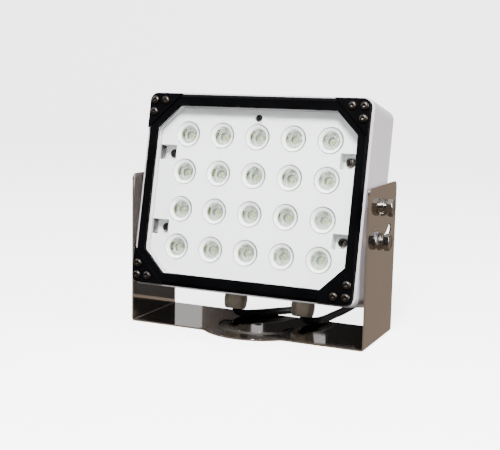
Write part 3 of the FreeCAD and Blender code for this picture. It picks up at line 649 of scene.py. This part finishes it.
def cable_line(name, points):
    """The cable's line: a smooth spline that passes near its points."""
    curve = bpy.data.curves.new(name, "CURVE")
    curve.dimensions = "3D"
    curve.resolution_u = 6
    spline = curve.splines.new("NURBS")
    spline.points.add(len(points) - 1)
    for place, point in zip(spline.points, points):
        place.co = (*point, 1.0)
    spline.order_u = 3
    spline.use_endpoint_u = True
    line = bpy.data.objects.new(name, curve)
    bpy.context.scene.collection.objects.link(line)
    return line


def length_of(points):
    """Length of a line of points."""
    return sum((Vector(b) - Vector(a)).length for a, b in zip(points, points[1:]))


def make_cable(side, gland_x, route, centre, total):
    """One cable as a round tube along its line, in place of its plain solids."""
    diameter = bpy.context.scene.lamp_sizes.cable_diameter
    low, high = upright_box("gland_nut_" + side)
    behind = (low.y + high.y) / 2
    inside = HEAD @ Vector((gland_x, behind, low.z + 6.9 * MM))
    below = HEAD @ Vector((gland_x, behind, low.z - 0.3 * MM))
    lead = [tuple(inside), tuple(below)] + route
    points = lead + coil_points(centre, total - length_of(lead))
    name = "cable_" + side
    line = cable_line(name + "_line", points)
    plain = bpy.data.meshes.new_from_object(line)
    bpy.data.meshes.remove(plain)
    line.data.bevel_depth = diameter / 2
    line.data.bevel_resolution = 4
    line.data.use_fill_caps = True
    tube = bpy.data.objects.new(name, bpy.data.meshes.new_from_object(line))
    bpy.data.objects.remove(line)
    bpy.context.scene.collection.objects.link(tube)
    smooth(tube)
    tube.data.materials.clear()
    tube.data.materials.append(jacket())
    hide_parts(name + "_bend", name + "_run", name + "_coil")
    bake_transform(tube)
    return tube


def coil_tie(side, centre):
    """A rubber strap drawn tight round all the turns of a coil."""
    half = 4.5 * MM
    tie = block("coil_tie_" + side, (29.5 * MM, -half, 0.1 * MM), (44.5 * MM, half, 21.7 * MM))
    soften(tie, 3 * MM, 4)
    inside = block("Inside", (30.4 * MM, -2 * half, 1.0 * MM), (43.6 * MM, 2 * half, 20.8 * MM))
    soften(inside, 2.4 * MM, 4)
    smooth(combine(tie, inside, "DIFFERENCE"))
    settle(tie, Matrix.Translation((*centre, 0)) @ Matrix.Rotation(math.radians(45), 4, "Z"))
    tie.data.materials.clear()
    tie.data.materials.append(rubber())
    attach(tie, "bracket")
    return tie


class ILLUMINATOR_OT_cables(bpy.types.Operator):
    """Lay both cables from their glands to their coils"""

    bl_idname = "illuminator.cables"
    bl_label = "Cables"

    def execute(self, context):
        length = 1.45
        for side, route, centre in (("left", LEFT_ROUTE, LEFT_COIL), ("right", RIGHT_ROUTE, RIGHT_COIL)):
            low, high = upright_box("gland_nut_" + side)
            make_cable(side, (low.x + high.x) / 2, route, centre, length)
            coil_tie(side, centre)
        return {"FINISHED"}


# Lenses, emitters and sensor

def lens_pattern():
    """A clear lens on its own axis: cavity and foot below, flared side, frosted dish and a dome on top."""
    sizes = bpy.context.scene.lamp_sizes
    r = sizes.lens_diameter / 2
    h = sizes.lens_height
    rings = [
        (3.3 * MM, 0.0), (5.2 * MM, 0.0), (6.7 * MM, 2.2 * MM), (8.5 * MM, 5.2 * MM),
        (r - 1.4 * MM, h - 3.2 * MM), (r - 0.1 * MM, h - 3.0 * MM), (r, h - 2.8 * MM), (r, h - 0.25 * MM),
        (r - 0.25 * MM, h), (r - 0.6 * MM, h - 0.1 * MM), (9.9 * MM, h - 0.65 * MM), (9.1 * MM, h - 1.35 * MM),
        (8.4 * MM, h - 2.0 * MM), (7.9 * MM, h - 2.6 * MM), (7.6 * MM, h - 2.6 * MM), (7.3 * MM, h - 1.95 * MM),
        (6.7 * MM, h - 1.58 * MM), (5.9 * MM, h - 1.21 * MM), (5.0 * MM, h - 0.86 * MM), (3.9 * MM, h - 0.52 * MM),
        (2.5 * MM, h - 0.21 * MM), (1.1 * MM, h - 0.04 * MM), (0.2 * MM, h),
    ]
    body = turned("Lens", rings, 48)
    hollow = turned("Cavity", [(3.3 * MM, -0.5 * MM), (3.1 * MM, 3.2 * MM), (2.3 * MM, 3.8 * MM),
                               (1.2 * MM, 4.3 * MM), (0.25 * MM, 4.5 * MM)], 32)
    return smooth(combine(body, hollow, "DIFFERENCE"))


def on_dish(face):
    """Whether a face of the lens lies on the frosted dish round its dome."""
    reach = math.hypot(face.center.x, face.center.y)
    return int(face.normal.z > 0.3 and 8.0 * MM < reach < 10.65 * MM)


class ILLUMINATOR_OT_lenses(bpy.types.Operator):
    """Model one clear lens and set it over every emitter"""

    bl_idname = "illuminator.lenses"
    bl_label = "Lenses"

    def execute(self, context):
        pattern = lens_pattern()
        frosted = [on_dish(face) for face in pattern.data.polygons]
        for row in range(1, ROWS + 1):
            for column in range(1, COLUMNS + 1):
                node = "lens_row%d_column%d" % (row, column)
                low, high = upright_box(node)
                turn = AHEAD @ Matrix.Rotation(math.radians(37 * (row * COLUMNS + column)), 4, "Z")
                place = in_head((low.x + high.x) / 2, high.y, (low.z + high.z) / 2, turn)
                lens = copied(pattern, "clear_" + node, place)
                belong(lens, "head", [node], acrylic())
                lens.data.materials.append(frost())
                lens.data.polygons.foreach_set("material_index", frosted)
        bpy.data.objects.remove(pattern)
        return {"FINISHED"}


def lens_centres():
    """The middle of every lens in the upright head, on the board."""
    centres = []
    for row in range(1, ROWS + 1):
        for column in range(1, COLUMNS + 1):
            low, high = upright_box("lens_row%d_column%d" % (row, column))
            centres.append(((low.x + high.x) / 2, high.y, (low.z + high.z) / 2))
    return centres


class ILLUMINATOR_OT_emitters(bpy.types.Operator):
    """Model the emitters: a ceramic base with its die, and a clear dome"""

    bl_idname = "illuminator.emitters"
    bl_label = "Emitters"

    def execute(self, context):
        half = 1.75 * MM
        base = block("Base", (-half, -half, 0), (half, half, 0.9 * MM))
        soften(base, 0.12 * MM)
        die = block("Die", (-0.5 * MM, -0.5 * MM, 0.9 * MM), (0.5 * MM, 0.5 * MM, 1.05 * MM))
        combine(base, die, "UNION")
        places = [in_head(x, y, z, AHEAD) for x, y, z in lens_centres()]
        belong(patterned(base, "emitter_bases", places), "head", ["leds"], ceramic())
        rings = [(1.4 * MM, 0.92 * MM)]
        for k in range(1, 6):
            a = math.radians(17 * k)
            rings.append((1.4 * MM * math.cos(a), 0.92 * MM + 1.05 * MM * math.sin(a)))
        dome = smooth(turned("Dome", rings, 24))
        belong(patterned(dome, "emitter_domes", places), "head", ["leds"], silicone())
        return {"FINISHED"}


class ILLUMINATOR_OT_sensor(bpy.types.Operator):
    """Model the dusk sensor's dark dome in its collar"""

    bl_idname = "illuminator.sensor"
    bl_label = "Dusk sensor"

    def execute(self, context):
        low, high = upright_box("light_sensor")
        r = (high.x - low.x) / 2
        length = high.y - low.y
        rings = [(r, 0.0), (r, length - 1.6 * MM), (r * 0.92, length - 0.8 * MM),
                 (r * 0.7, length - 0.3 * MM), (r * 0.4, length - 0.05 * MM), (r * 0.1, length)]
        dome = smooth(turned("dusk_sensor", rings, 32))
        settle(dome, in_head((low.x + high.x) / 2, high.y, (low.z + high.z) / 2, AHEAD))
        belong(dome, "head", ["light_sensor"], dark_plastic())
        return {"FINISHED"}


# Fasteners

def button_head(diameter, height, key, shank, length):
    """Button head screw with a hexagon socket, its seat at zero."""
    r = diameter / 2
    rings = [(shank / 2, -length), (shank / 2, 0.0), (r - 0.1 * MM, 0.0), (r, 0.12 * MM),
             (r, 0.4 * MM), (r * 0.95, height * 0.5), (r * 0.84, height * 0.75),
             (r * 0.68, height * 0.93), (r * 0.56, height)]
    screw = turned("Button screw", rings, 36)
    socket = hexagon_bar("Socket", key, height * 0.42, height + 1 * MM)
    combine(screw, socket, "DIFFERENCE")
    point = turned("Point", [(key * 0.08, height * 0.2), (key * 0.5, height * 0.43)], 24)
    return smooth(combine(screw, point, "DIFFERENCE"))


def pan_head(diameter, height, shank, length):
    """Pan head screw with a cross recess, its seat at zero."""
    r = diameter / 2
    rings = [(shank / 2, -length), (shank / 2, 0.0), (r - 0.1 * MM, 0.0), (r, 0.15 * MM),
             (r, height * 0.5), (r * 0.94, height * 0.76), (r * 0.78, height * 0.93), (r * 0.5, height)]
    screw = turned("Pan screw", rings, 32)
    arm = r * 0.56
    for turn in (0, 90):
        half = 0.42 * MM
        bar = block("Recess", (-arm, -half, height * 0.3), (arm, half, height + 1 * MM))
        settle(bar, Matrix.Rotation(math.radians(turn), 4, "Z"))
        combine(screw, bar, "DIFFERENCE")
    middle = turned("Middle", [(0.2 * MM, height * 0.12), (0.75 * MM, height + 0.1 * MM)], 16)
    return smooth(combine(screw, middle, "DIFFERENCE"))


def four(x, z):
    """One place mirrored into the four corners."""
    return [(sx * x, sz * z) for sz in (1, -1) for sx in (-1, 1)]


def spun(x, y, z, number, way=AHEAD):
    """A screw's place in the head, each turned by a different amount."""
    return in_head(x, y, z, way @ Matrix.Rotation(math.radians(47 * number), 4, "Z"))


class ILLUMINATOR_OT_screws(bpy.types.Operator):
    """Model the button screws of the corner plates and the pan screws of panel and cover"""

    bl_idname = "illuminator.screws"
    bl_label = "Small screws"

    def execute(self, context):
        diameter = context.scene.lamp_sizes.button_diameter
        low, high = upright_box("front_frame")
        seat = upright_box("corner_plate_top_left")[0].y
        x, z = high.x - 5.3 * MM, high.z - 6.5 * MM
        pitch = 10.5 * MM
        spots = [spot for px, pz in ((x, z), (x - pitch, z), (x, z - pitch)) for spot in four(px, pz)]
        screw = button_head(diameter, 2.2 * MM, 2.5 * MM, 4 * MM, 12 * MM)
        places = [spun(px, seat, pz, k) for k, (px, pz) in enumerate(spots)]
        piece = patterned(screw, "corner_button_screws", places)
        belong(piece, "head", ["corner_screws"], dark_steel())

        low, high = upright_box("panel_screws")
        reach = 4 * MM
        spots = four(high.x - reach, high.z - reach)
        screw = pan_head(8 * MM, 2.6 * MM, 4 * MM, high.y - low.y - 2.6 * MM)
        places = [spun(px, low.y + 2.6 * MM, pz, k) for k, (px, pz) in enumerate(spots)]
        piece = patterned(screw, "pocket_pan_screws", places)
        belong(piece, "head", ["panel_screws"], dark_steel())

        low, high = upright_box("rear_cover_screws")
        x, z = high.x - diameter / 2, high.z - diameter / 2
        spots = [(sx * x, k * z) for sx in (-1, 1) for k in (-1, 0, 1)]
        screw = pan_head(diameter, 2.2 * MM, 4 * MM, high.y - low.y - 2.2 * MM)
        back = Matrix.Rotation(math.radians(-90), 4, "X")
        places = [spun(px, high.y - 2.2 * MM, pz, k, back) for k, (px, pz) in enumerate(spots)]
        piece = patterned(screw, "rear_pan_screws", places)
        belong(piece, "head", ["rear_cover_screws"], turned_steel())
        return {"FINISHED"}


def bolt_pattern(flats, height, shank, length):
    """Hexagon bolt with a chamfered head, its seat at zero and the head above."""
    reach = flats / math.sqrt(3)
    head = hexagon_bar("Bolt", flats, 0.0, height)
    crown = turned("Crown", [(flats * 0.47, -0.01 * MM), (reach + 0.3 * MM, 0.9 * MM), (reach + 0.3 * MM, height - 1.1 * MM),
                             (flats * 0.49, height - 0.02 * MM), (flats * 0.47, height + 0.01 * MM)], 64)
    combine(head, crown, "INTERSECT")
    dish = turned("Dish", [(flats * 0.3, height - 0.25 * MM), (flats * 0.36, height + 0.1 * MM)], 48)
    combine(head, dish, "DIFFERENCE")
    bar = turned("Shank", [(shank / 2 - 0.6 * MM, -length), (shank / 2, 0.6 * MM - length), (shank / 2, 0.2 * MM)], 32)
    return smooth(combine(head, bar, "UNION"))


def flat_washer(outer, inner, thick):
    """Plain washer with broken edges."""
    e = 0.15 * MM
    rings = [(inner, 0.0), (outer - e, 0.0), (outer, e), (outer, thick - e), (outer - e, thick), (inner, thick)]
    return smooth(turned("Washer", rings, 56, hollow=True))


def split_washer(outer, inner, thick, gap):
    """Spring washer: a thick ring, split on a slant, its ends a little apart."""
    e = 0.2 * MM
    rings = [(inner, 0.0), (outer - e, 0.0), (outer, e), (outer, thick - e), (outer - e, thick), (inner, thick)]
    ring = turned("Split washer", rings, 56, hollow=True)
    slot = block("Split", (-gap / 2, 0.0, -2 * thick), (gap / 2, 2 * outer, 3 * thick))
    settle(slot, Matrix.Rotation(math.radians(24), 4, "Y"))
    return smooth(combine(ring, slot, "DIFFERENCE"))


class ILLUMINATOR_OT_side_bolts(bpy.types.Operator):
    """Model the hexagon bolts, split washers and plain washers at both arms"""

    bl_idname = "illuminator.side_bolts"
    bl_label = "Side bolts"

    def execute(self, context):
        flats = context.scene.lamp_sizes.bolt_flats
        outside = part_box("bracket")[1].x
        washer = 1.6 * MM
        spring = 2.1 * MM
        heights = (0.0, -29.4 * MM)
        sets = []
        for number, (z, way) in enumerate((z, way) for z in heights for way in (-1, 1)):
            turn = Matrix.Rotation(math.radians(90 * way), 4, "Y")
            spin = Matrix.Rotation(math.radians((18, 40, 5, 27)[number]), 4, "Z")
            sets.append((way, z, turn @ spin))

        def places(offset):
            return [in_head(way * (outside + offset), 0.0, z, turn) for way, z, turn in sets]

        bolts = patterned(bolt_pattern(flats, 5.3 * MM, 8 * MM, 20 * MM), "side_hexagon_bolts",
                          places(washer + spring))
        belong(bolts, "head", ["side_bolts"], turned_steel())
        rings = patterned(split_washer(6.15 * MM, 4.2 * MM, spring, 1.4 * MM), "side_split_washers", places(washer))
        belong(rings, "head", ["spring_washers"], turned_steel())
        plain = patterned(flat_washer(7.5 * MM, 4.2 * MM, washer), "side_plain_washers", places(0.0))
        belong(plain, "head", ["flat_washers"], turned_steel())
        return {"FINISHED"}


# Cable glands

def gland_cap(flats, length):
    """Cap nut from its flange end at zero down to its flared mouth."""
    reach = flats / math.sqrt(3)
    nut = hexagon_bar("Cap", flats, -length, 0.0)
    form = turned("Form", [(8.4 * MM, -length), (8.9 * MM, 0.12 * MM - length), (9.4 * MM, 0.5 * MM - length),
                           (9.8 * MM, 1.2 * MM - length), (10.2 * MM, 2.2 * MM - length), (10.5 * MM, 3.4 * MM - length),
                           (10.8 * MM, -6.2 * MM), (reach, -5.2 * MM), (reach, -0.5 * MM), (reach - 0.5 * MM, 0.0)], 64)
    combine(nut, form, "INTERSECT")
    bore = turned("Bore", [(6.0 * MM, -length - 0.2 * MM), (5.6 * MM, 0.5 * MM - length), (3.9 * MM, 3.0 * MM - length),
                           (3.9 * MM, -5.0 * MM), (7.1 * MM, -5.0 * MM), (7.1 * MM, 0.5 * MM)], 40)
    return smooth(combine(nut, bore, "DIFFERENCE"))


def gland_flange(flats, high, below):
    """Gland body: hexagon flange between its two threads."""
    reach = flats / math.sqrt(3)
    flange = hexagon_bar("Flange", flats, 0.0, 4.5 * MM)
    form = turned("Form", [(reach - 0.6 * MM, 0.0), (reach, 0.5 * MM), (reach, 3.9 * MM), (reach - 0.8 * MM, 4.5 * MM)], 64)
    combine(flange, form, "INTERSECT")
    upper = turned("Upper", [(7.6 * MM, 2 * MM), (7.6 * MM, high - 0.5 * MM), (7.1 * MM, high)], 40)
    combine(flange, upper, "UNION")
    lower = turned("Lower", [(6.9 * MM, -below), (6.9 * MM, 1 * MM)], 40)
    combine(flange, lower, "UNION")
    bore = turned("Bore", [(5.8 * MM, -below - 1 * MM), (5.8 * MM, 1 * MM), (3.9 * MM, 1.01 * MM), (3.9 * MM, high + 1 * MM)], 40)
    return smooth(combine(flange, bore, "DIFFERENCE"))


class ILLUMINATOR_OT_glands(bpy.types.Operator):
    """Model both cable glands: hexagon flange and domed cap nut"""

    bl_idname = "illuminator.glands"
    bl_label = "Cable glands"

    def execute(self, context):
        flats = context.scene.lamp_sizes.gland_flats
        turn = Matrix.Rotation(math.radians(50), 4, "Z")
        for side in ("left", "right"):
            low, high = upright_box("gland_nut_" + side)
            x, y = (low.x + high.x) / 2, (low.y + high.y) / 2
            cap = gland_cap(flats, high.z - low.z + 0.7 * MM)
            cap.name = "gland_cap_" + side
            settle(cap, in_head(x, y, high.z, turn))
            belong(cap, "head", ["gland_nut_" + side], nylon())
            body_low, body_high = upright_box("gland_body_" + side)
            body = gland_flange(flats, body_high.z - high.z, high.z - body_low.z)
            body.name = "gland_flange_" + side
            settle(body, in_head(x, y, high.z, turn))
            belong(body, "head", ["gland_body_" + side], nylon())
        return {"FINISHED"}


class ILLUMINATOR_OT_castings(bpy.types.Operator):
    """Give the bracket, housing, frame, panel and the other solids their finish"""

    bl_idname = "illuminator.castings"
    bl_label = "Castings and sheet"

    def execute(self, context):
        for node, finish in NODE_FINISHES.items():
            dress(node, finish(), ROUNDED_NODES.get(node, 0) * MM)
        return {"FINISHED"}


# Camera, floor and light

def camera_pose():
    """The camera's place and axes, as fitted to the photograph."""
    azimuth = math.radians(24.1)
    elevation = math.radians(8.31)
    roll = math.radians(-1.22)
    right = Vector((math.cos(azimuth), math.sin(azimuth), 0))
    forward = Vector((-math.sin(azimuth) * math.cos(elevation), math.cos(azimuth) * math.cos(elevation),
                      -math.sin(elevation)))
    up = right.cross(forward)
    x = right * math.cos(roll) - up * math.sin(roll)
    y = right * math.sin(roll) + up * math.cos(roll)
    axes = Matrix((x, y, -forward)).transposed().to_4x4()
    return Matrix.Translation((0.3412, -0.7866, 0.2185)) @ axes


class ILLUMINATOR_OT_camera(bpy.types.Operator):
    """Set the camera at the photograph's angle"""

    bl_idname = "illuminator.camera"
    bl_label = "Camera"

    def execute(self, context):
        lens = bpy.data.cameras.new("Camera")
        lens.lens = 69.38
        lens.sensor_width = 36
        lens.clip_start = 0.01
        camera = bpy.data.objects.new("Camera", lens)
        camera.matrix_world = camera_pose()
        context.scene.collection.objects.link(camera)
        context.scene.camera = camera
        return {"FINISHED"}


def soft_light(name, place, aim, size, power):
    """A large square light that looks at a point."""
    lamp = bpy.data.lights.new(name, "AREA")
    lamp.size = size
    lamp.energy = power
    light = bpy.data.objects.new(name, lamp)
    light.location = place
    light.rotation_euler = (Vector(aim) - Vector(place)).to_track_quat("-Z", "Y").to_euler()
    bpy.context.scene.collection.objects.link(light)
    return light


# Painted reflections: dark cards behind the lamp that only the bracket's mirror finish sees, standing in for shade
# there, as brightness, lowest and highest corner
PAINTED_REFLECTION_CARDS = (
    ("card_floor", 0.03, (-0.10, 0.06, 0.0002), (0.10, 0.5, 0.0004)),
    ("card_far", 0.08, (-0.0934, 0.152, 0.003), (-0.075, 0.153, 0.12)),
    ("card_left", 0.01, (-0.060, 0.150, 0.003), (-0.002, 0.151, 0.12)),
    ("card_middle", 0.01, (-0.002, 0.150, 0.003), (0.012, 0.151, 0.045)),
    ("card_right", 0.01, (0.012, 0.150, 0.003), (0.080, 0.151, 0.12)),
) + tuple(
    ("card_step_%d" % k, 0.24 * 0.86 ** k, (-0.135 + 0.0052 * k, 0.152, 0.003), (-0.1298 + 0.0052 * k, 0.153, 0.12))
    for k in range(8))


def painted_reflection_card(name, level, low, high):
    """A dark card behind the lamp, which only its mirrored sheet sees: a painted reflection of shade."""
    card = block(name, low, high)
    shade = (level, level * 0.85, level * 0.75)
    card.data.materials.append(surface("Card shade %g" % level, shade, (0.7, 0.8), (2, 30, 60), 0.00002))
    card.visible_camera = False
    card.visible_diffuse = False
    card.visible_shadow = False
    card.visible_transmission = False
    return card


def pale_floor(colour):
    """The floor's finish, which glows a little for the camera alone, as a lit sweep does."""
    material = surface("Pale floor", colour, (0.7, 0.8), (2, 30, 60), 0.00002, shade=0.99,
                       Emission_Color=(1, 1, 1, 1))
    tree = material.node_tree
    ray = add_node(tree, "ShaderNodeLightPath")
    glow = add_node(tree, "ShaderNodeMath", {0: ray.outputs["Is Camera Ray"], 1: 3.5}, operation="MULTIPLY")
    tree.links.new(glow.outputs[0], tree.nodes["Principled BSDF"].inputs["Emission Strength"])
    return material


def studio_world(level):
    """Even pale light, while mirrors see a brownish floor, a light wall behind, a dark room in front and
    a bright ceiling."""
    world = bpy.data.worlds.new("Studio")
    world.use_nodes = True
    tree = world.node_tree
    tree.nodes.clear()
    place = add_node(tree, "ShaderNodeTexCoord")
    parts = add_node(tree, "ShaderNodeSeparateXYZ", {0: place.outputs["Generated"]})
    rise = add_node(tree, "ShaderNodeMapRange", {
        "Value": parts.outputs["Z"], "From Min": -0.08, "From Max": 0.05}, interpolation_type="SMOOTHSTEP")
    depth = add_node(tree, "ShaderNodeMapRange", {
        "Value": parts.outputs["Y"], "From Min": -0.5, "From Max": 0.45}, interpolation_type="SMOOTHSTEP")
    height = add_node(tree, "ShaderNodeMapRange", {
        "Value": parts.outputs["Z"], "From Min": 0.45, "From Max": 0.7}, interpolation_type="SMOOTHSTEP")
    across = add_node(tree, "ShaderNodeMapRange", {
        "Value": parts.outputs["X"], "From Min": -0.05, "From Max": 0.3}, interpolation_type="SMOOTHSTEP")
    rear = add_node(tree, "ShaderNodeMix", {
        0: across.outputs["Result"], 6: (0.62, 0.61, 0.61, 1), 7: (0.17, 0.135, 0.12, 1)}, data_type="RGBA")
    walls = add_node(tree, "ShaderNodeMix", {
        0: depth.outputs["Result"], 6: (0.02, 0.02, 0.022, 1), 7: rear.outputs[2]}, data_type="RGBA")
    low = add_node(tree, "ShaderNodeMix", {
        0: rise.outputs["Result"], 6: (0.36, 0.29, 0.23, 1), 7: walls.outputs[2]}, data_type="RGBA")
    seen = add_node(tree, "ShaderNodeMix", {
        0: height.outputs["Result"], 6: low.outputs[2], 7: (1.3, 1.3, 1.3, 1)}, data_type="RGBA")
    ray = add_node(tree, "ShaderNodeLightPath")
    pale = add_node(tree, "ShaderNodeMapRange", {
        "Value": ray.outputs["Is Camera Ray"], "To Min": level, "To Max": 4.0})
    even = add_node(tree, "ShaderNodeBackground", {"Color": (1, 1, 1, 1), "Strength": pale.outputs["Result"]})
    mirror = add_node(tree, "ShaderNodeBackground", {"Color": seen.outputs[2], "Strength": 1.0})
    mix = add_node(tree, "ShaderNodeMixShader", {
        0: ray.outputs["Is Glossy Ray"], 1: even.outputs["Background"], 2: mirror.outputs["Background"]})
    out = add_node(tree, "ShaderNodeOutputWorld")
    tree.links.new(mix.outputs["Shader"], out.inputs["Surface"])
    return world


class ILLUMINATOR_OT_stage(bpy.types.Operator):
    """Lay the pale floor sweep and set up the soft light"""

    bl_idname = "illuminator.stage"
    bl_label = "Stage"

    def execute(self, context):
        studio = context.scene.lamp_studio
        deselect()
        bpy.ops.mesh.primitive_plane_add(size=12, location=(0, -2.5, 0))
        floor = context.object
        floor.name = "floor_sweep"
        bpy.ops.object.mode_set(mode="EDIT")
        bpy.ops.mesh.select_mode(type="EDGE")
        bpy.ops.mesh.select_all(action="DESELECT")
        bpy.ops.object.mode_set(mode="OBJECT")
        for edge in floor.data.edges:
            ends = [floor.data.vertices[k].co.y for k in edge.vertices]
            edge.select = min(ends) > 5
        bpy.ops.object.mode_set(mode="EDIT")
        bpy.ops.mesh.extrude_region_move(TRANSFORM_OT_translate={"value": (0, 0, 4)})
        bpy.ops.object.mode_set(mode="OBJECT")
        for edge in floor.data.edges:
            ends = [floor.data.vertices[k].co for k in edge.vertices]
            edge.select = all(end.y > 5 and end.z < 0.01 for end in ends)
        bpy.ops.object.mode_set(mode="EDIT")
        bpy.ops.mesh.bevel(offset=1.2, segments=16, affect="EDGES")
        bpy.ops.object.mode_set(mode="OBJECT")
        settle(floor, Matrix.Identity(4))
        smooth(floor)
        floor.data.materials.append(pale_floor(tuple(studio.floor)))
        floor.visible_glossy = False
        floor.visible_diffuse = False
        # painted reflections: dark cards that only the bracket's mirror finish sees
        for name, level, low, high in PAINTED_REFLECTION_CARDS:
            painted_reflection_card(name, level, low, high)
        # painted shadow: a dark disc on the floor under the base, seen through the bracket's slot
        patch = turned("painted_shadow_patch", [(37 * MM, 0.05 * MM), (37 * MM, 0.2 * MM)], 48)
        patch.data.materials.append(surface("Table patch", (0.02, 0.017, 0.014), (0.6, 0.7), (40, 60, 90), 0.00002))
        context.scene.world = studio_world(studio.sky)
        soft_light("Key", (0.3, -0.93, 1.15), (0, 0, 0.1), 0.36, studio.key_power)
        soft_light("Glint", (-0.99, -0.46, 0.82), (0, 0, 0.1), 0.2, studio.key_power * 0.1)
        soft_light("Side", (1.35, 0.1, 0.55), (0, 0, 0.1), 0.8, studio.fill_power)
        return {"FINISHED"}


class ILLUMINATOR_PT_panel(bpy.types.Panel):
    """Sizes, colours and steps of the lamp"""

    bl_label = "Infrared illuminator"
    bl_idname = "ILLUMINATOR_PT_panel"
    bl_space_type = "VIEW_3D"
    bl_region_type = "UI"
    bl_category = "Illuminator"

    def draw(self, context):
        scene = context.scene
        for title, group in (("Sizes", scene.lamp_sizes), ("Colours", scene.lamp_colours),
                             ("Studio", scene.lamp_studio)):
            box = self.layout.box()
            box.label(text=title)
            for key in group.bl_rna.properties.keys():
                if key not in ("rna_type", "name"):
                    box.prop(group, key)
        for step in STEPS:
            self.layout.operator(step.bl_idname)


STEPS = (
    ILLUMINATOR_OT_camera,
    ILLUMINATOR_OT_cables,
    ILLUMINATOR_OT_castings,
    ILLUMINATOR_OT_lenses,
    ILLUMINATOR_OT_emitters,
    ILLUMINATOR_OT_sensor,
    ILLUMINATOR_OT_screws,
    ILLUMINATOR_OT_side_bolts,
    ILLUMINATOR_OT_glands,
    ILLUMINATOR_OT_stage,
)
GROUPS = (("lamp_sizes", LampSizes), ("lamp_colours", LampColours), ("lamp_studio", StudioSettings))


def register():
    """Add the property groups, the steps and the panel."""
    for name, kind in GROUPS:
        bpy.utils.register_class(kind)
        setattr(bpy.types.Scene, name, PointerProperty(type=kind))
    for step in STEPS:
        bpy.utils.register_class(step)
    bpy.utils.register_class(ILLUMINATOR_PT_panel)


def unregister():
    """Take them away again."""
    bpy.utils.unregister_class(ILLUMINATOR_PT_panel)
    for step in reversed(STEPS):
        bpy.utils.unregister_class(step)
    for name, kind in reversed(GROUPS):
        delattr(bpy.types.Scene, name)
        bpy.utils.unregister_class(kind)


def main():
    """Run every step in order."""
    register()
    for step in STEPS:
        family, name = step.bl_idname.split(".")
        getattr(getattr(bpy.ops, family), name)()


if __name__ == "__main__":
    main()
